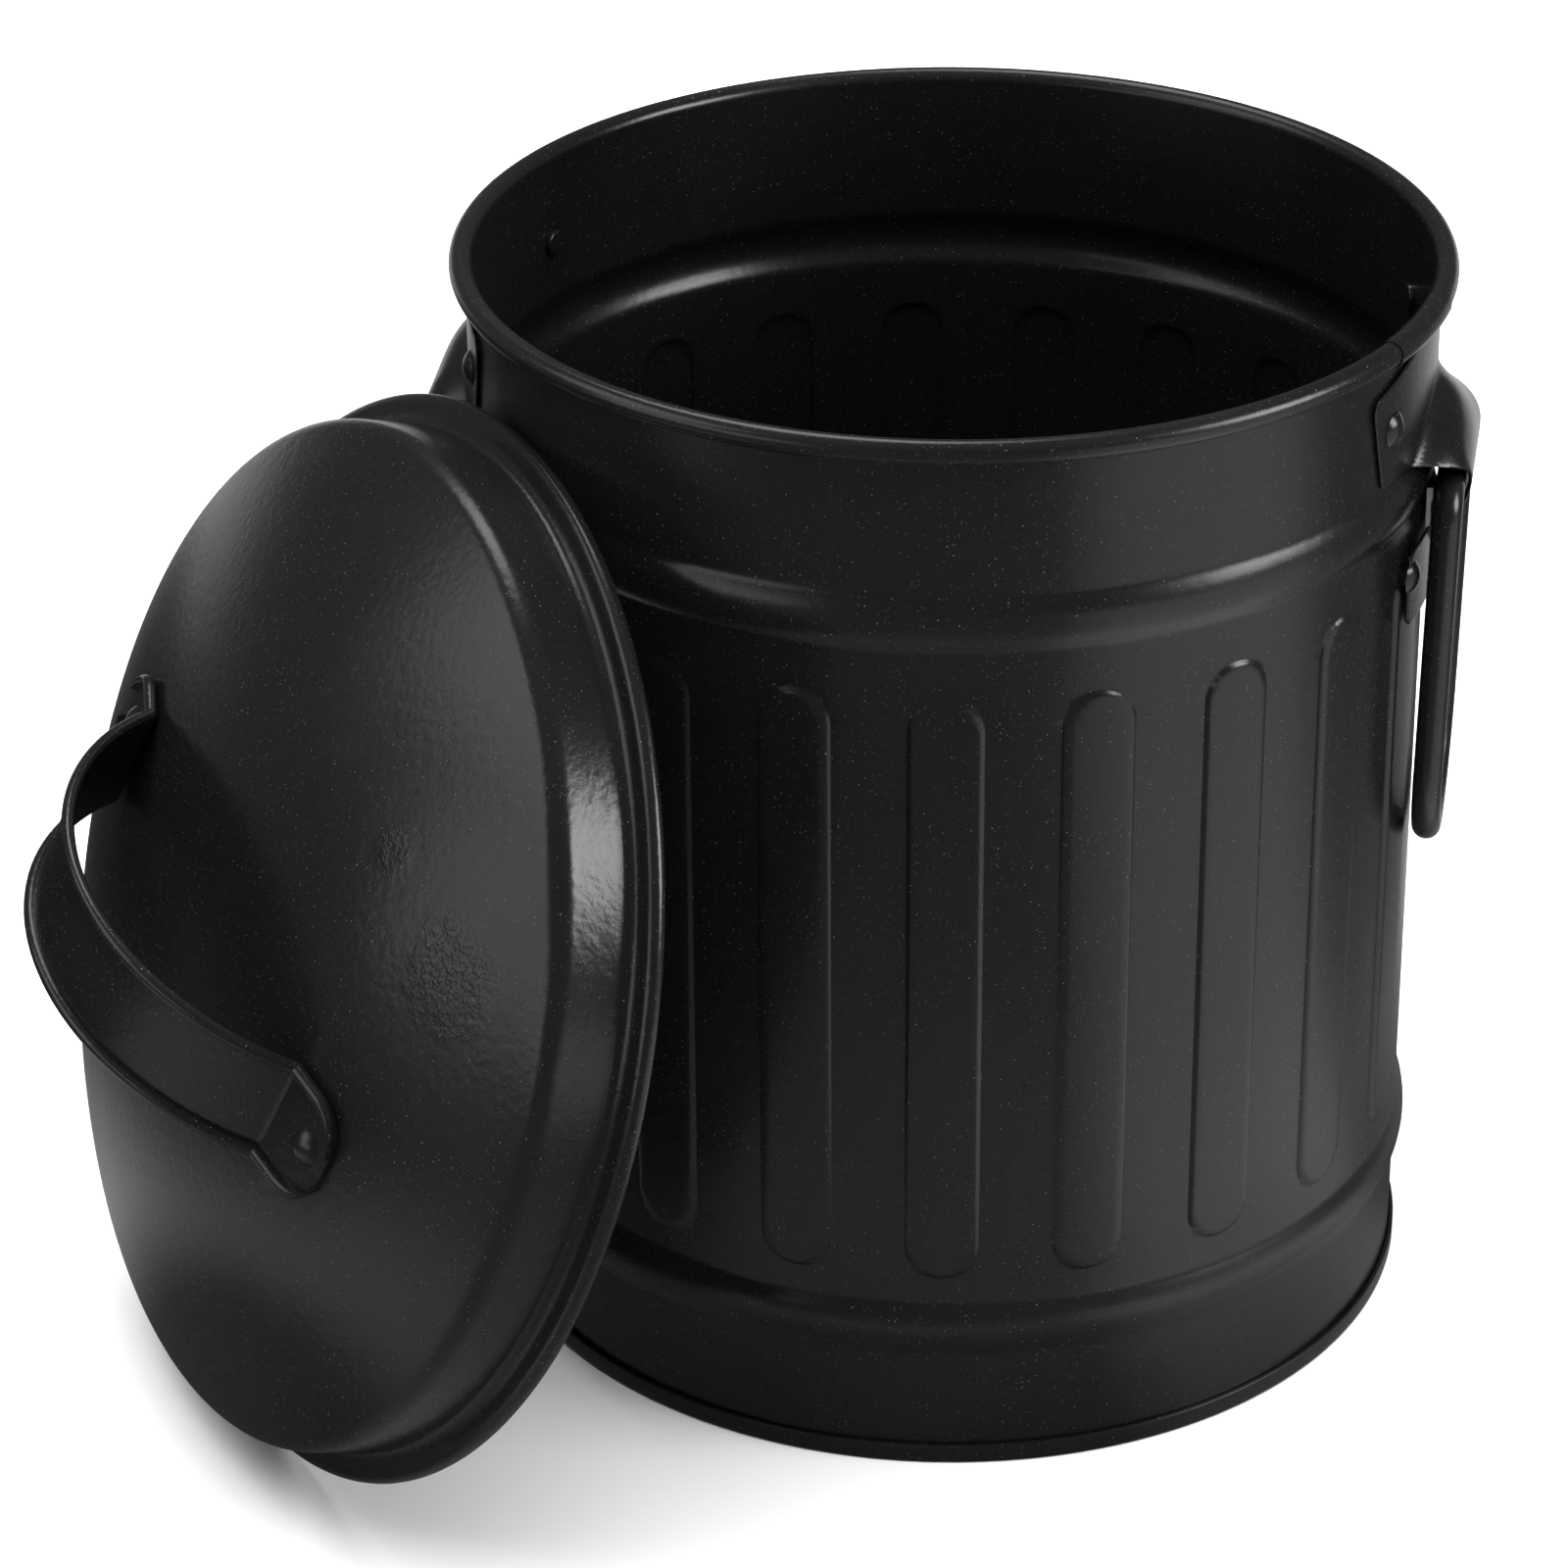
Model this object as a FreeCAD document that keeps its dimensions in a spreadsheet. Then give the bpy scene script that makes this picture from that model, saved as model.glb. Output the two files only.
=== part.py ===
import FreeCAD, Part
import math
import operator
import os
import Sketcher

# A small steel trash can with two ring handles and a loose lid that leans against it.
# Millimetres, +Z up, origin on the floor under the middle of the can.
# The ring handles lie along +X and -X, and the lid leans on the can from the left front.

# Driving dimensions: alias, value, meaning
SIZES = [
    ("sheet", 0.6, "steel sheet of the wall, base, lid and brackets"),
    ("can_height", 180.5, "floor to the top of the rolled rim"),
    ("wall_radius", 76.8, "outside of the plain wall"),
    ("rim_curl", 1.9, "outside radius of the roll along the rim"),
    ("bead_rise", 1.5, "how far a hoop bead stands out of the wall"),
    ("bead_half", 4.7, "half the height of a hoop bead"),
    ("bead_blend", 2.4, "radius where a bead runs into the wall"),
    ("bead_low", 25.4, "height of the lower hoop bead"),
    ("bead_gap", 0.4, "gap between the upper hoop bead and the brackets' ears"),
    ("flute_count", 20, "upright pressed panels round the wall"),
    ("flute_spacing", 17.45, "degrees from one panel to the next"),
    ("flute_start", -12.0, "degrees from the right handle to the first panel"),
    ("flute_rise", 0.6, "how far a panel stands out of the wall"),
    ("flute_face", 4.4, "half width of a panel's flat face"),
    ("flute_foot", 6.3, "half width of a panel where its slope starts"),
    ("flute_under", 13.4, "upper bead's edge to the centre of a panel's upper round end"),
    ("flute_over", 10.6, "lower bead's edge to the centre of a panel's lower round end"),
    ("lap_angle", -7.2, "degrees to the end of the rim's overlap"),
    ("lap_sweep", 16.0, "degrees that the rim's ends overlap"),
    ("lap_rise", 0.25, "how much fatter the rim's roll is at the overlap"),
    ("base_recess", 4.0, "floor to the underside of the base disc"),
    ("base_lip", 3.3, "height of the crimped lip round the foot"),
    ("lip_gap", 0.25, "gap between the crimped lip and the wall"),
    ("seat_gap", 0.05, "clearance between pieces that seat on each other"),
    ("hood_radius", 16.0, "outside radius of a bracket's barrel-shaped hood"),
    ("hood_flat", 11.0, "half length of the hood's straight middle"),
    ("hood_round", 9.0, "outside radius of the hood's rounded ends"),
    ("hood_drop", 26.4, "a bracket's upper edge down to the hood's centre"),
    ("rim_gap", 0.3, "gap between the rolled rim and a bracket's upper edge"),
    ("ear_slope", 5.4, "fall of the upper edge from its straight middle to the ear's corner"),
    ("ear_height", 16.0, "height of an ear at its outer corners"),
    ("ear_half", 33.5, "half width across the upper corners of the ears"),
    ("ear_foot", 30.1, "half width across the lower corners of the ears"),
    ("ear_round", 2.2, "corner radius of the ears and the lower tab"),
    ("shoulder_half", 12.0, "half width of the straight upper edge"),
    ("arch_radius", 14.0, "radius of the arches for the ring's legs"),
    ("strap_half", 7.6, "half width of the bracket's middle strap"),
    ("tab_half", 20.5, "half width of the bracket's lower tab"),
    ("tab_drop", 36.2, "a bracket's upper edge down to the top of its lower tab"),
    ("tab_height", 12.8, "height of the lower tab"),
    ("tab_gap", 0.2, "gap between the lower tab and the panels that it crosses"),
    ("ear_rivet_across", 26.7, "middle of a bracket to an ear rivet, across"),
    ("ear_rivet_drop", 12.0, "a bracket's upper edge down to the ear rivets"),
    ("tab_rivet_across", 18.3, "middle of a bracket to a tab rivet, across"),
    ("tab_rivet_drop", 4.4, "top of the lower tab down to its rivets"),
    ("rivet_shank", 1.5, "radius of a rivet's shank"),
    ("rivet_head", 2.9, "radius of a rivet's domed head"),
    ("rivet_dome", 1.3, "height of a rivet's domed head"),
    ("rivet_tail", 2.2, "radius of a rivet's clinched end"),
    ("rivet_tail_height", 0.9, "height of a rivet's clinched end"),
    ("rivet_fit", 0.05, "clearance round a rivet's shank"),
    ("wire", 2.35, "radius of the ring handles' wire"),
    ("ring_half", 17.0, "half the distance between a ring's legs"),
    ("ring_sink", 1.0, "hood's centre down to the ring's top bar"),
    ("ring_gap", 0.33, "clearance of a ring's bar to the hood and to the bead behind it"),
    ("ring_drop", 64.8, "top bar to the lowest point of the ring's wire centre"),
    ("ring_corner", 5.0, "bend radius at a ring's upper corners"),
    ("ring_lean", 0.9, "degrees by which a hanging ring leans to the wall"),
    ("lid_fit", 0.47, "clearance between the lid's shoulder and the can's rim"),
    ("lid_brim", 5.03, "lid's shoulder out to the edge of its rolled rim"),
    ("lid_curl", 1.45, "outside radius of the roll along the lid's rim"),
    ("lid_flare", 2.0, "inside radius where the shoulder flares to the rim"),
    ("lid_corner", 2.8, "outside radius between shoulder and dome"),
    ("lid_sphere", 171.0, "outside radius of the lid's dome"),
    ("lid_apex", 35.8, "lid's rim plane to the top of its dome"),
    ("lid_lean", 17.65, "degrees by which the lid leans from upright"),
    ("lid_bearing", 218.5, "compass angle from the can to the lid"),
    ("lid_gap", 0.1, "gap between the lid's rim and the wall it leans on"),
    ("grip_turn", -19.3, "degrees from the lid's level line to its strap handle"),
    ("grip_sheet", 0.8, "sheet of the strap handle"),
    ("grip_half", 8.9, "middle of the strap to the middle of its hemmed edge"),
    ("grip_hem", 1.05, "radius of the strap's hemmed edges"),
    ("grip_span", 38.3, "middle of the lid to the strap's bends"),
    ("grip_rise", 20.2, "top of the lid's dome to the middle of the strap's sheet"),
    ("grip_foot", 13.6, "length of a strap foot past its bend"),
    ("grip_foot_round", 7.0, "corner radius of a strap foot's end"),
    ("grip_rivet_reach", 46.4, "middle of the lid to a strap rivet"),
]

# The two handles by side, with their bearing in degrees about the can
HANDLES = (("right", 0), ("left", 180))

OPERATIONS = {"+": operator.add, "-": operator.sub, "*": operator.mul, "/": operator.truediv}


class Size:
    """A number together with the sheet formula that it comes from."""

    def __init__(self, value, formula):
        self.value = value
        self.formula = formula

    def __add__(self, other):
        return joined(self, "+", other)

    def __radd__(self, other):
        return joined(other, "+", self)

    def __sub__(self, other):
        return joined(self, "-", other)

    def __rsub__(self, other):
        return joined(other, "-", self)

    def __mul__(self, other):
        return joined(self, "*", other)

    def __rmul__(self, other):
        return joined(other, "*", self)

    def __truediv__(self, other):
        return joined(self, "/", other)

    def __neg__(self):
        return joined(0, "-", self)


def sized(number):
    if isinstance(number, Size):
        return number
    return Size(float(number), repr(float(number)))


def joined(left, sign, right):
    left, right = sized(left), sized(right)
    value = OPERATIONS[sign](left.value, right.value)
    return Size(value, f"({left.formula} {sign} {right.formula})")


def root(size):
    return Size(math.sqrt(size.value), f"sqrt({size.formula})")


def arc_sine(share):
    return Size(math.degrees(math.asin(share.value)), f"asin({share.formula})")


def fill_sheet(document):
    """The sheet of driving dimensions, and each of them as a Size by its alias."""
    sheet = document.addObject("Spreadsheet::Sheet", "dims")
    for row, (alias, value, meaning) in enumerate(SIZES, start=1):
        sheet.set(f"A{row}", meaning)
        sheet.set(f"B{row}", str(value))
        sheet.setAlias(f"B{row}", alias)
    document.recompute()
    return {alias: Size(float(sheet.get(alias)), f"dims.{alias}") for alias, *_ in SIZES}


doc = FreeCAD.newDocument("trash_can")
d = fill_sheet(doc)

# Sizes that follow from the driving ones: the can and its handles, down from the rim
wall_inside = d["wall_radius"] - d["sheet"]
wall_foot = d["sheet"] + d["seat_gap"]
rim_radius = wall_inside + 2 * d["rim_curl"]
rim_underside = d["can_height"] - 2 * d["rim_curl"]
plate_top = rim_underside - d["rim_gap"]
ear_top = plate_top - d["ear_slope"]
ear_bottom = ear_top - d["ear_height"]
bead_high = ear_bottom - d["bead_gap"] - d["bead_half"]
flute_high = bead_high - d["bead_half"] - d["flute_under"]
flute_low = d["bead_low"] + d["bead_half"] + d["flute_over"]
flute_slope = (d["flute_foot"] - d["flute_face"]) / (d["flute_rise"] + d["sheet"] * 0.75)
tab_top = plate_top - d["tab_drop"]
tab_bottom = tab_top - d["tab_height"]
tab_inside = d["wall_radius"] + d["flute_rise"] + d["tab_gap"]
ear_rivet_height = plate_top - d["ear_rivet_drop"]
ear_rivet_angle = arc_sine(d["ear_rivet_across"] / d["wall_radius"])
tab_rivet_height = tab_top - d["tab_rivet_drop"]
tab_rivet_angle = arc_sine(d["tab_rivet_across"] / d["wall_radius"])

# The hood is set so that the ring's bar runs between it and the bead.
hood_height = plate_top - d["hood_drop"]
ring_height = hood_height - d["ring_sink"]
ring_reach = d["wall_radius"] + d["bead_rise"] + d["ring_gap"] + d["wire"]
bar_orbit = d["hood_radius"] - d["sheet"] - d["ring_gap"] - d["wire"]
hood_centre = ring_reach - root(bar_orbit * bar_orbit - d["ring_sink"] * d["ring_sink"])
hood_reach = hood_centre + d["hood_radius"]

# The lid fits over the rim.
lid_shoulder = rim_radius + d["lid_fit"] + d["sheet"]
lid_radius = lid_shoulder + d["lid_brim"]
lid_sphere_centre = d["lid_apex"] - d["lid_sphere"]
grip_top = d["lid_apex"] + d["grip_rise"]


# Sketch helpers

def new_body(label):
    body = doc.addObject("PartDesign::Body", label)
    body.Label = label
    return body


def origin_feature(body, role):
    return next(item for item in body.Origin.OriginFeatures if item.Role == role)


def bind(item, name, size):
    item.setExpression(name, sized(size).formula)


def new_sketch(body, name, plane, offset=None):
    """An empty sketch on one of the body's own origin planes, moved along the plane's normal."""
    sketch = body.newObject("Sketcher::SketchObject", name)
    sketch.AttachmentSupport = [(origin_feature(body, plane), "")]
    sketch.MapMode = "FlatFace"
    if offset is not None:
        bind(sketch, "AttachmentOffset.Base.z", offset)
    return sketch


def dimension(sketch, kind, place, size):
    number = sketch.addConstraint(Sketcher.Constraint(kind, *place, sized(size).value))
    bind(sketch, f"Constraints[{number}]", size)


def pin(sketch, curve, point, x, y):
    """Holds a sketch point at (x, y); a zero becomes a point on the axis."""
    for kind, axis, size in (("DistanceX", -2, x), ("DistanceY", -1, y)):
        if sized(size).value == 0:
            sketch.addConstraint(Sketcher.Constraint("PointOnObject", curve, point, axis))
        else:
            dimension(sketch, kind, (-1, 1, curve, point), size)


def arc_between(start, end, radius, turn):
    """The smaller arc from start to end: turn is +1 for counter-clockwise travel, -1 for clockwise."""
    middle = (start + end) * 0.5
    chord = end - start
    height = math.sqrt(max(radius * radius - chord.Length ** 2 / 4, 0))
    side = FreeCAD.Vector(-chord.y, chord.x, 0).normalize()
    centre = middle + side * (height * turn)
    first, last = (start, end) if turn > 0 else (end, start)
    angles = [math.atan2(p.y - centre.y, p.x - centre.x) for p in (first, last)]
    circle = Part.Circle(centre, FreeCAD.Vector(0, 0, 1), radius)
    return Part.ArcOfCircle(circle, angles[0], angles[1])


def draw(sketch, nodes, closed=True):
    """An outline through nodes (x, y) or (x, y, radius, turn), where the last two curve the way on."""
    points = [FreeCAD.Vector(sized(n[0]).value, sized(n[1]).value, 0) for n in nodes]
    count = len(nodes) if closed else len(nodes) - 1
    ends = []
    for i in range(count):
        start, end = points[i], points[(i + 1) % len(points)]
        if len(nodes[i]) == 2:
            curve = sketch.addGeometry(Part.LineSegment(start, end))
            ends.append((curve, 1, 2))
        else:
            radius, turn = nodes[i][2:]
            curve = sketch.addGeometry(arc_between(start, end, radius.value, turn))
            ends.append((curve, 1, 2) if turn > 0 else (curve, 2, 1))
    for i in range(count if closed else count - 1):
        after = ends[(i + 1) % count]
        sketch.addConstraint(Sketcher.Constraint("Coincident", ends[i][0], ends[i][2], after[0], after[1]))
    for i, node in enumerate(nodes):
        curve, point = ends[i][:2] if i < count else (ends[-1][0], ends[-1][2])
        pin(sketch, curve, point, node[0], node[1])
    for i in range(count):
        if len(nodes[i]) == 4:
            dimension(sketch, "Radius", (ends[i][0],), nodes[i][2])


def draw_circle(sketch, x, y, radius):
    centre = FreeCAD.Vector(sized(x).value, sized(y).value, 0)
    circle = Part.Circle(centre, FreeCAD.Vector(0, 0, 1), sized(radius).value)
    curve = sketch.addGeometry(circle)
    pin(sketch, curve, 3, x, y)
    dimension(sketch, "Radius", (curve,), radius)


def spin(body, kind, name, sketch, sweep=360):
    """The sketch turned about its upright axis, added or cut away, spread evenly over a sweep."""
    feature = body.newObject(kind, name)
    feature.Profile = sketch
    feature.ReferenceAxis = (sketch, ["V_Axis"])
    feature.Midplane = True
    bind(feature, "Angle", sweep)
    return feature


def place(body, placement):
    """Builds the body in its own frame first, because its patterns are laid out there."""
    doc.recompute()
    body.Placement = placement


def polar_copies(body, name, originals, count, angle):
    pattern = body.newObject("PartDesign::PolarPattern", name)
    pattern.Originals = originals
    pattern.Axis = (origin_feature(body, "Z_Axis"), [""])
    bind(pattern, "Occurrences", count)
    bind(pattern, "Angle", angle)
    body.Tip = pattern
    return pattern


def about_can(bearing):
    """A turn about the axis of the can, in degrees from the right handle."""
    return FreeCAD.Placement(FreeCAD.Vector(), FreeCAD.Rotation(FreeCAD.Vector(0, 0, 1), bearing))


def bracket_holes(body, name, bearing, reach):
    """The four rivet holes of one bracket, each along a radius of the can out to a reach."""
    for place_name, angle, height in (
        ("ear", ear_rivet_angle, ear_rivet_height),
        ("tab", tab_rivet_angle, tab_rivet_height),
    ):
        for sign in (1, -1):
            hole = body.newObject("PartDesign::SubtractiveCylinder", f"{name}_{place_name}_hole")
            hole.Placement = about_can((bearing + sign * angle).value) * FreeCAD.Placement(
                FreeCAD.Vector(), FreeCAD.Rotation(FreeCAD.Vector(0, 1, 0), 90))
            bind(hole, "Placement.Base.z", height)
            bind(hole, "Radius", d["rivet_shank"] + d["rivet_fit"])
            bind(hole, "Height", reach)


# Can wall: rolled rim, two hoop beads and a ring of upright pressed panels

def bead_nodes(radius, height, blend, crown, upward):
    """A bead's two blends and crown on a wall of this radius, in the order they are walked."""
    share = blend / (blend + crown)
    side = 1 if upward else -1
    near, far = height - side * d["bead_half"], height + side * d["bead_half"]
    tangent = d["bead_half"] * (1 - share)
    swell = radius + d["bead_rise"] * share
    return [
        (radius, near, blend, -side),
        (swell, height - side * tangent, crown, side),
        (swell, height + side * tangent, blend, -side),
        (radius, far),
    ]


def wall_profile():
    radii_sum = (d["bead_half"] * d["bead_half"] + d["bead_rise"] * d["bead_rise"]) / (2 * d["bead_rise"])
    outer_blend, inner_blend = d["bead_blend"], d["bead_blend"] + d["sheet"]
    outside, inside = d["wall_radius"], wall_inside
    curl, bore = d["rim_curl"], d["rim_curl"] - d["sheet"]
    centre_x, centre_z = wall_inside + d["rim_curl"], d["can_height"] - d["rim_curl"]
    nodes = [(inside, wall_foot), (outside, wall_foot)]
    for height in (d["bead_low"], bead_high):
        nodes += bead_nodes(outside, height, outer_blend, radii_sum - outer_blend, True)
    nodes += [
        (outside, centre_z, bore, -1),
        (centre_x, centre_z + bore, bore, -1),
        (centre_x + bore, centre_z, bore, -1),
        (centre_x, centre_z - bore),
        (centre_x, centre_z - curl, curl, 1),
        (centre_x + curl, centre_z, curl, 1),
        (centre_x, centre_z + curl, curl, 1),
        (inside, centre_z),
    ]
    for height in (bead_high, d["bead_low"]):
        nodes += bead_nodes(inside, height, inner_blend, radii_sum - inner_blend, False)
    return nodes


def flute_sketch(body, name, distance, half_width):
    sketch = new_sketch(body, name, "YZ_Plane", distance)
    low, high = flute_low, flute_high
    draw(sketch, [
        (half_width, low),
        (half_width, high, half_width, 1),
        (0, high + half_width, half_width, 1),
        (-half_width, high),
        (-half_width, low, half_width, 1),
        (0, low - half_width, half_width, 1),
    ])
    return sketch


def flute_loft(body, kind, name, foot, face):
    loft = body.newObject(kind, name)
    loft.Profile = foot
    loft.Sections = [face]
    loft.Ruled = True
    return loft


def make_can_wall():
    body = new_body("can_wall")
    profile = new_sketch(body, "wall_profile", "XZ_Plane")
    draw(profile, wall_profile())
    spin(body, "PartDesign::Revolution", "wall_turn", profile)
    # Each panel is pressed outwards: a raised face outside and the same hollow inside.
    foot = flute_sketch(body, "flute_foot", wall_inside + d["sheet"] * 0.25, d["flute_foot"])
    face = flute_sketch(body, "flute_face", d["wall_radius"] + d["flute_rise"], d["flute_face"])
    panel = flute_loft(body, "PartDesign::AdditiveLoft", "flute", foot, face)
    depth = d["flute_rise"] + d["sheet"]
    hollow_face = flute_sketch(body, "flute_hollow_face", wall_inside + d["flute_rise"], d["flute_face"] - 0.1)
    hollow_mouth = flute_sketch(body, "flute_hollow_mouth", wall_inside - d["sheet"],
                                d["flute_face"] - 0.1 + flute_slope * depth)
    hollow = flute_loft(body, "PartDesign::SubtractiveLoft", "flute_hollow", hollow_mouth, hollow_face)
    polar_copies(body, "flutes", [panel, hollow], d["flute_count"], d["flute_spacing"] * (d["flute_count"] - 1))
    body.Tip.Reversed = True
    # The ends of the rolled rim overlap, so the roll is fatter for a short way.
    lap = new_sketch(body, "rim_lap_section", "XZ_Plane")
    draw_circle(lap, wall_inside + d["rim_curl"], d["can_height"] - d["rim_curl"], d["rim_curl"] + d["lap_rise"])
    draw_circle(lap, wall_inside + d["rim_curl"], d["can_height"] - d["rim_curl"],
                d["rim_curl"] - d["sheet"] * 0.5)
    lap_turn = d["lap_angle"] - d["lap_sweep"] * 0.5 - d["flute_start"]
    turned = FreeCAD.Rotation(FreeCAD.Vector(0, 1, 0), lap_turn.value)
    lap.AttachmentOffset = FreeCAD.Placement(FreeCAD.Vector(), turned)
    bind(lap, "AttachmentOffset.Rotation.Angle", lap_turn)
    spin(body, "PartDesign::Revolution", "rim_lap", lap, d["lap_sweep"])
    for side, bearing in HANDLES:
        bracket_holes(body, side, bearing - d["flute_start"], d["rim_curl"] + d["wall_radius"])
    place(body, about_can(d["flute_start"].value))


# Base pan: a recessed disc with a channel round its edge that holds the foot of the wall

def make_base_pan():
    body = new_body("base_pan")
    leg_outside = wall_inside - d["seat_gap"]
    leg_inside = leg_outside - d["sheet"]
    lip_inside = d["wall_radius"] + d["lip_gap"]
    lip_outside = lip_inside + d["sheet"]
    bend = d["sheet"]
    disc_top = d["base_recess"] + d["sheet"]
    profile = new_sketch(body, "pan_profile", "XZ_Plane")
    draw(profile, [
        (0, d["base_recess"]),
        (leg_inside, d["base_recess"]),
        (leg_inside, bend, bend, 1),
        (leg_inside + bend, 0),
        (lip_outside - bend, 0, bend, 1),
        (lip_outside, bend),
        (lip_outside, d["base_lip"]),
        (lip_inside, d["base_lip"]),
        (lip_inside, d["sheet"]),
        (leg_outside, d["sheet"]),
        (leg_outside, disc_top - bend, bend, 1),
        (leg_outside - bend, disc_top),
        (0, disc_top),
    ])
    spin(body, "PartDesign::Revolution", "pan_turn", profile)


# Handle brackets: one pressing with two ears, a domed hood for the ring and a lower tab

def both_sides(right):
    """Nodes of a right-hand side from bottom to top, closed with their mirror images on the left."""
    before = [right[0][:2]] + right[:-1]
    left = [(-node[0], node[1], *last[2:]) for node, last in zip(right, before)]
    return right + left[::-1]


def ears_outline():
    """The ears, hood and middle strap seen from outside, across and up."""
    round_off = d["ear_round"]
    arch_low = ear_bottom - d["arch_radius"]
    arch_half = d["strap_half"] + d["arch_radius"]
    top_fall = (plate_top - ear_top) / (d["ear_half"] - d["shoulder_half"])
    side_lean = (d["ear_half"] - d["ear_foot"]) / (ear_top - ear_bottom)
    return both_sides([
        (d["strap_half"], tab_bottom),
        (d["strap_half"], arch_low, d["arch_radius"], -1),
        (arch_half, ear_bottom),
        (d["ear_foot"] - round_off, ear_bottom, round_off, 1),
        (d["ear_foot"] + round_off * side_lean, ear_bottom + round_off),
        (d["ear_half"] - round_off * side_lean, ear_top - round_off, round_off * 1.2, 1),
        (d["ear_half"] - round_off, ear_top + round_off * top_fall),
        (d["shoulder_half"], plate_top),
    ])


def tab_outline():
    """The lower tab seen from outside; the strap comes down into the gap in its upper edge."""
    round_off = d["ear_round"]
    return both_sides([
        (d["tab_half"] - round_off, tab_bottom, round_off, 1),
        (d["tab_half"], tab_bottom + round_off),
        (d["tab_half"], tab_top - round_off, round_off, 1),
        (d["tab_half"] - round_off, tab_top),
        (d["strap_half"], tab_top),
        (d["strap_half"], tab_top - d["ear_round"]),
    ])


def trim_to(body, name, outline, top, reach):
    """Cuts away everything below a top height that lies outside the outline, out to a reach."""
    sketch = new_sketch(body, name + "_outline", "YZ_Plane")
    side = d["ear_half"] + d["hood_round"]
    low = tab_bottom - d["hood_round"]
    draw(sketch, [(-side, low), (side, low), (side, top), (-side, top)])
    draw(sketch, outline)
    cut = body.newObject("PartDesign::Pocket", name)
    cut.Profile = sketch
    cut.Type = "Length"
    cut.Reversed = True
    bind(cut, "Length", reach)


def curved_plate(body, name, inside, bottom, top, sweep):
    """A plate of sheet that follows the wall, between two heights and over a sweep."""
    section = new_sketch(body, name + "_section", "XZ_Plane")
    outside = inside + d["sheet"]
    draw(section, [(inside, bottom), (outside, bottom), (outside, top), (inside, top)])
    spin(body, "PartDesign::Revolution", name, section, sweep)


def hood_barrel(body, kind, name, radius, round_off):
    """A barrel with rounded ends that lies across the bracket, added or cut away."""
    section = new_sketch(body, name + "_section", "XY_Plane", hood_height)
    bind(section, "AttachmentOffset.Base.x", hood_centre)
    flat, end = d["hood_flat"], d["hood_flat"] + round_off
    draw(section, [
        (0, -end),
        (radius - round_off, -end, round_off, 1),
        (radius, -flat),
        (radius, flat, round_off, 1),
        (radius - round_off, end),
        (0, end),
    ])
    spin(body, kind, name, section)


def clear_of_wall(body, name, radius, top):
    core = body.newObject("PartDesign::SubtractiveCylinder", name)
    bind(core, "Radius", radius)
    bind(core, "Height", top)


def make_bracket(label, bearing):
    body = new_body(label)
    plate_inside = d["wall_radius"] + d["seat_gap"]
    tab_outside = tab_inside + d["sheet"]
    beyond_hood = hood_reach + d["hood_round"]
    sweep = 2 * arc_sine((d["ear_half"] + d["ear_round"]) / d["wall_radius"])
    hood_barrel(body, "PartDesign::Revolution", "hood_outside", d["hood_radius"], d["hood_round"])
    curved_plate(body, "ears", plate_inside, ear_bottom, plate_top, sweep)
    hood_barrel(body, "PartDesign::Groove", "hood_inside", d["hood_radius"] - d["sheet"],
                d["hood_round"] - d["sheet"])
    clear_of_wall(body, "wall_clearance", plate_inside, d["can_height"])
    clear_of_wall(body, "panel_clearance", tab_inside, tab_top)
    trim_to(body, "ears_trim", ears_outline(), plate_top + d["hood_round"], beyond_hood)
    curved_plate(body, "tab", tab_inside, tab_bottom, tab_top, sweep)
    trim_to(body, "tab_trim", tab_outline(), tab_top + d["sheet"], tab_outside + d["seat_gap"])
    bracket_holes(body, label, sized(0), beyond_hood)
    place(body, about_can(bearing))


# Ring handles: wire bent to a flat-topped loop, in a frame whose Y axis is the top bar

def make_ring(label, bearing):
    body = new_body(label)
    half, corner, drop = d["ring_half"], d["ring_corner"], d["ring_drop"]
    path = new_sketch(body, "ring_path", "YZ_Plane")
    draw(path, [
        (0, 0),
        (corner - half, 0, corner, 1),
        (-half, -corner),
        (-half, half - drop, half, 1),
        (0, -drop, half, 1),
        (half, half - drop),
        (half, -corner, corner, 1),
        (half - corner, 0),
    ])
    section = new_sketch(body, "wire_section", "XZ_Plane")
    draw_circle(section, 0, 0, d["wire"])
    pipe = body.newObject("PartDesign::AdditivePipe", "wire_loop")
    pipe.Profile = section
    pipe.Spine = (path, [])
    hang = FreeCAD.Placement(
        FreeCAD.Vector(ring_reach.value, 0, ring_height.value),
        FreeCAD.Rotation(FreeCAD.Vector(0, 1, 0), d["ring_lean"].value))
    place(body, about_can(bearing) * hang)


# Lid: a domed pressing with an upright shoulder and a rolled rim, in a frame on its rim plane

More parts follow.
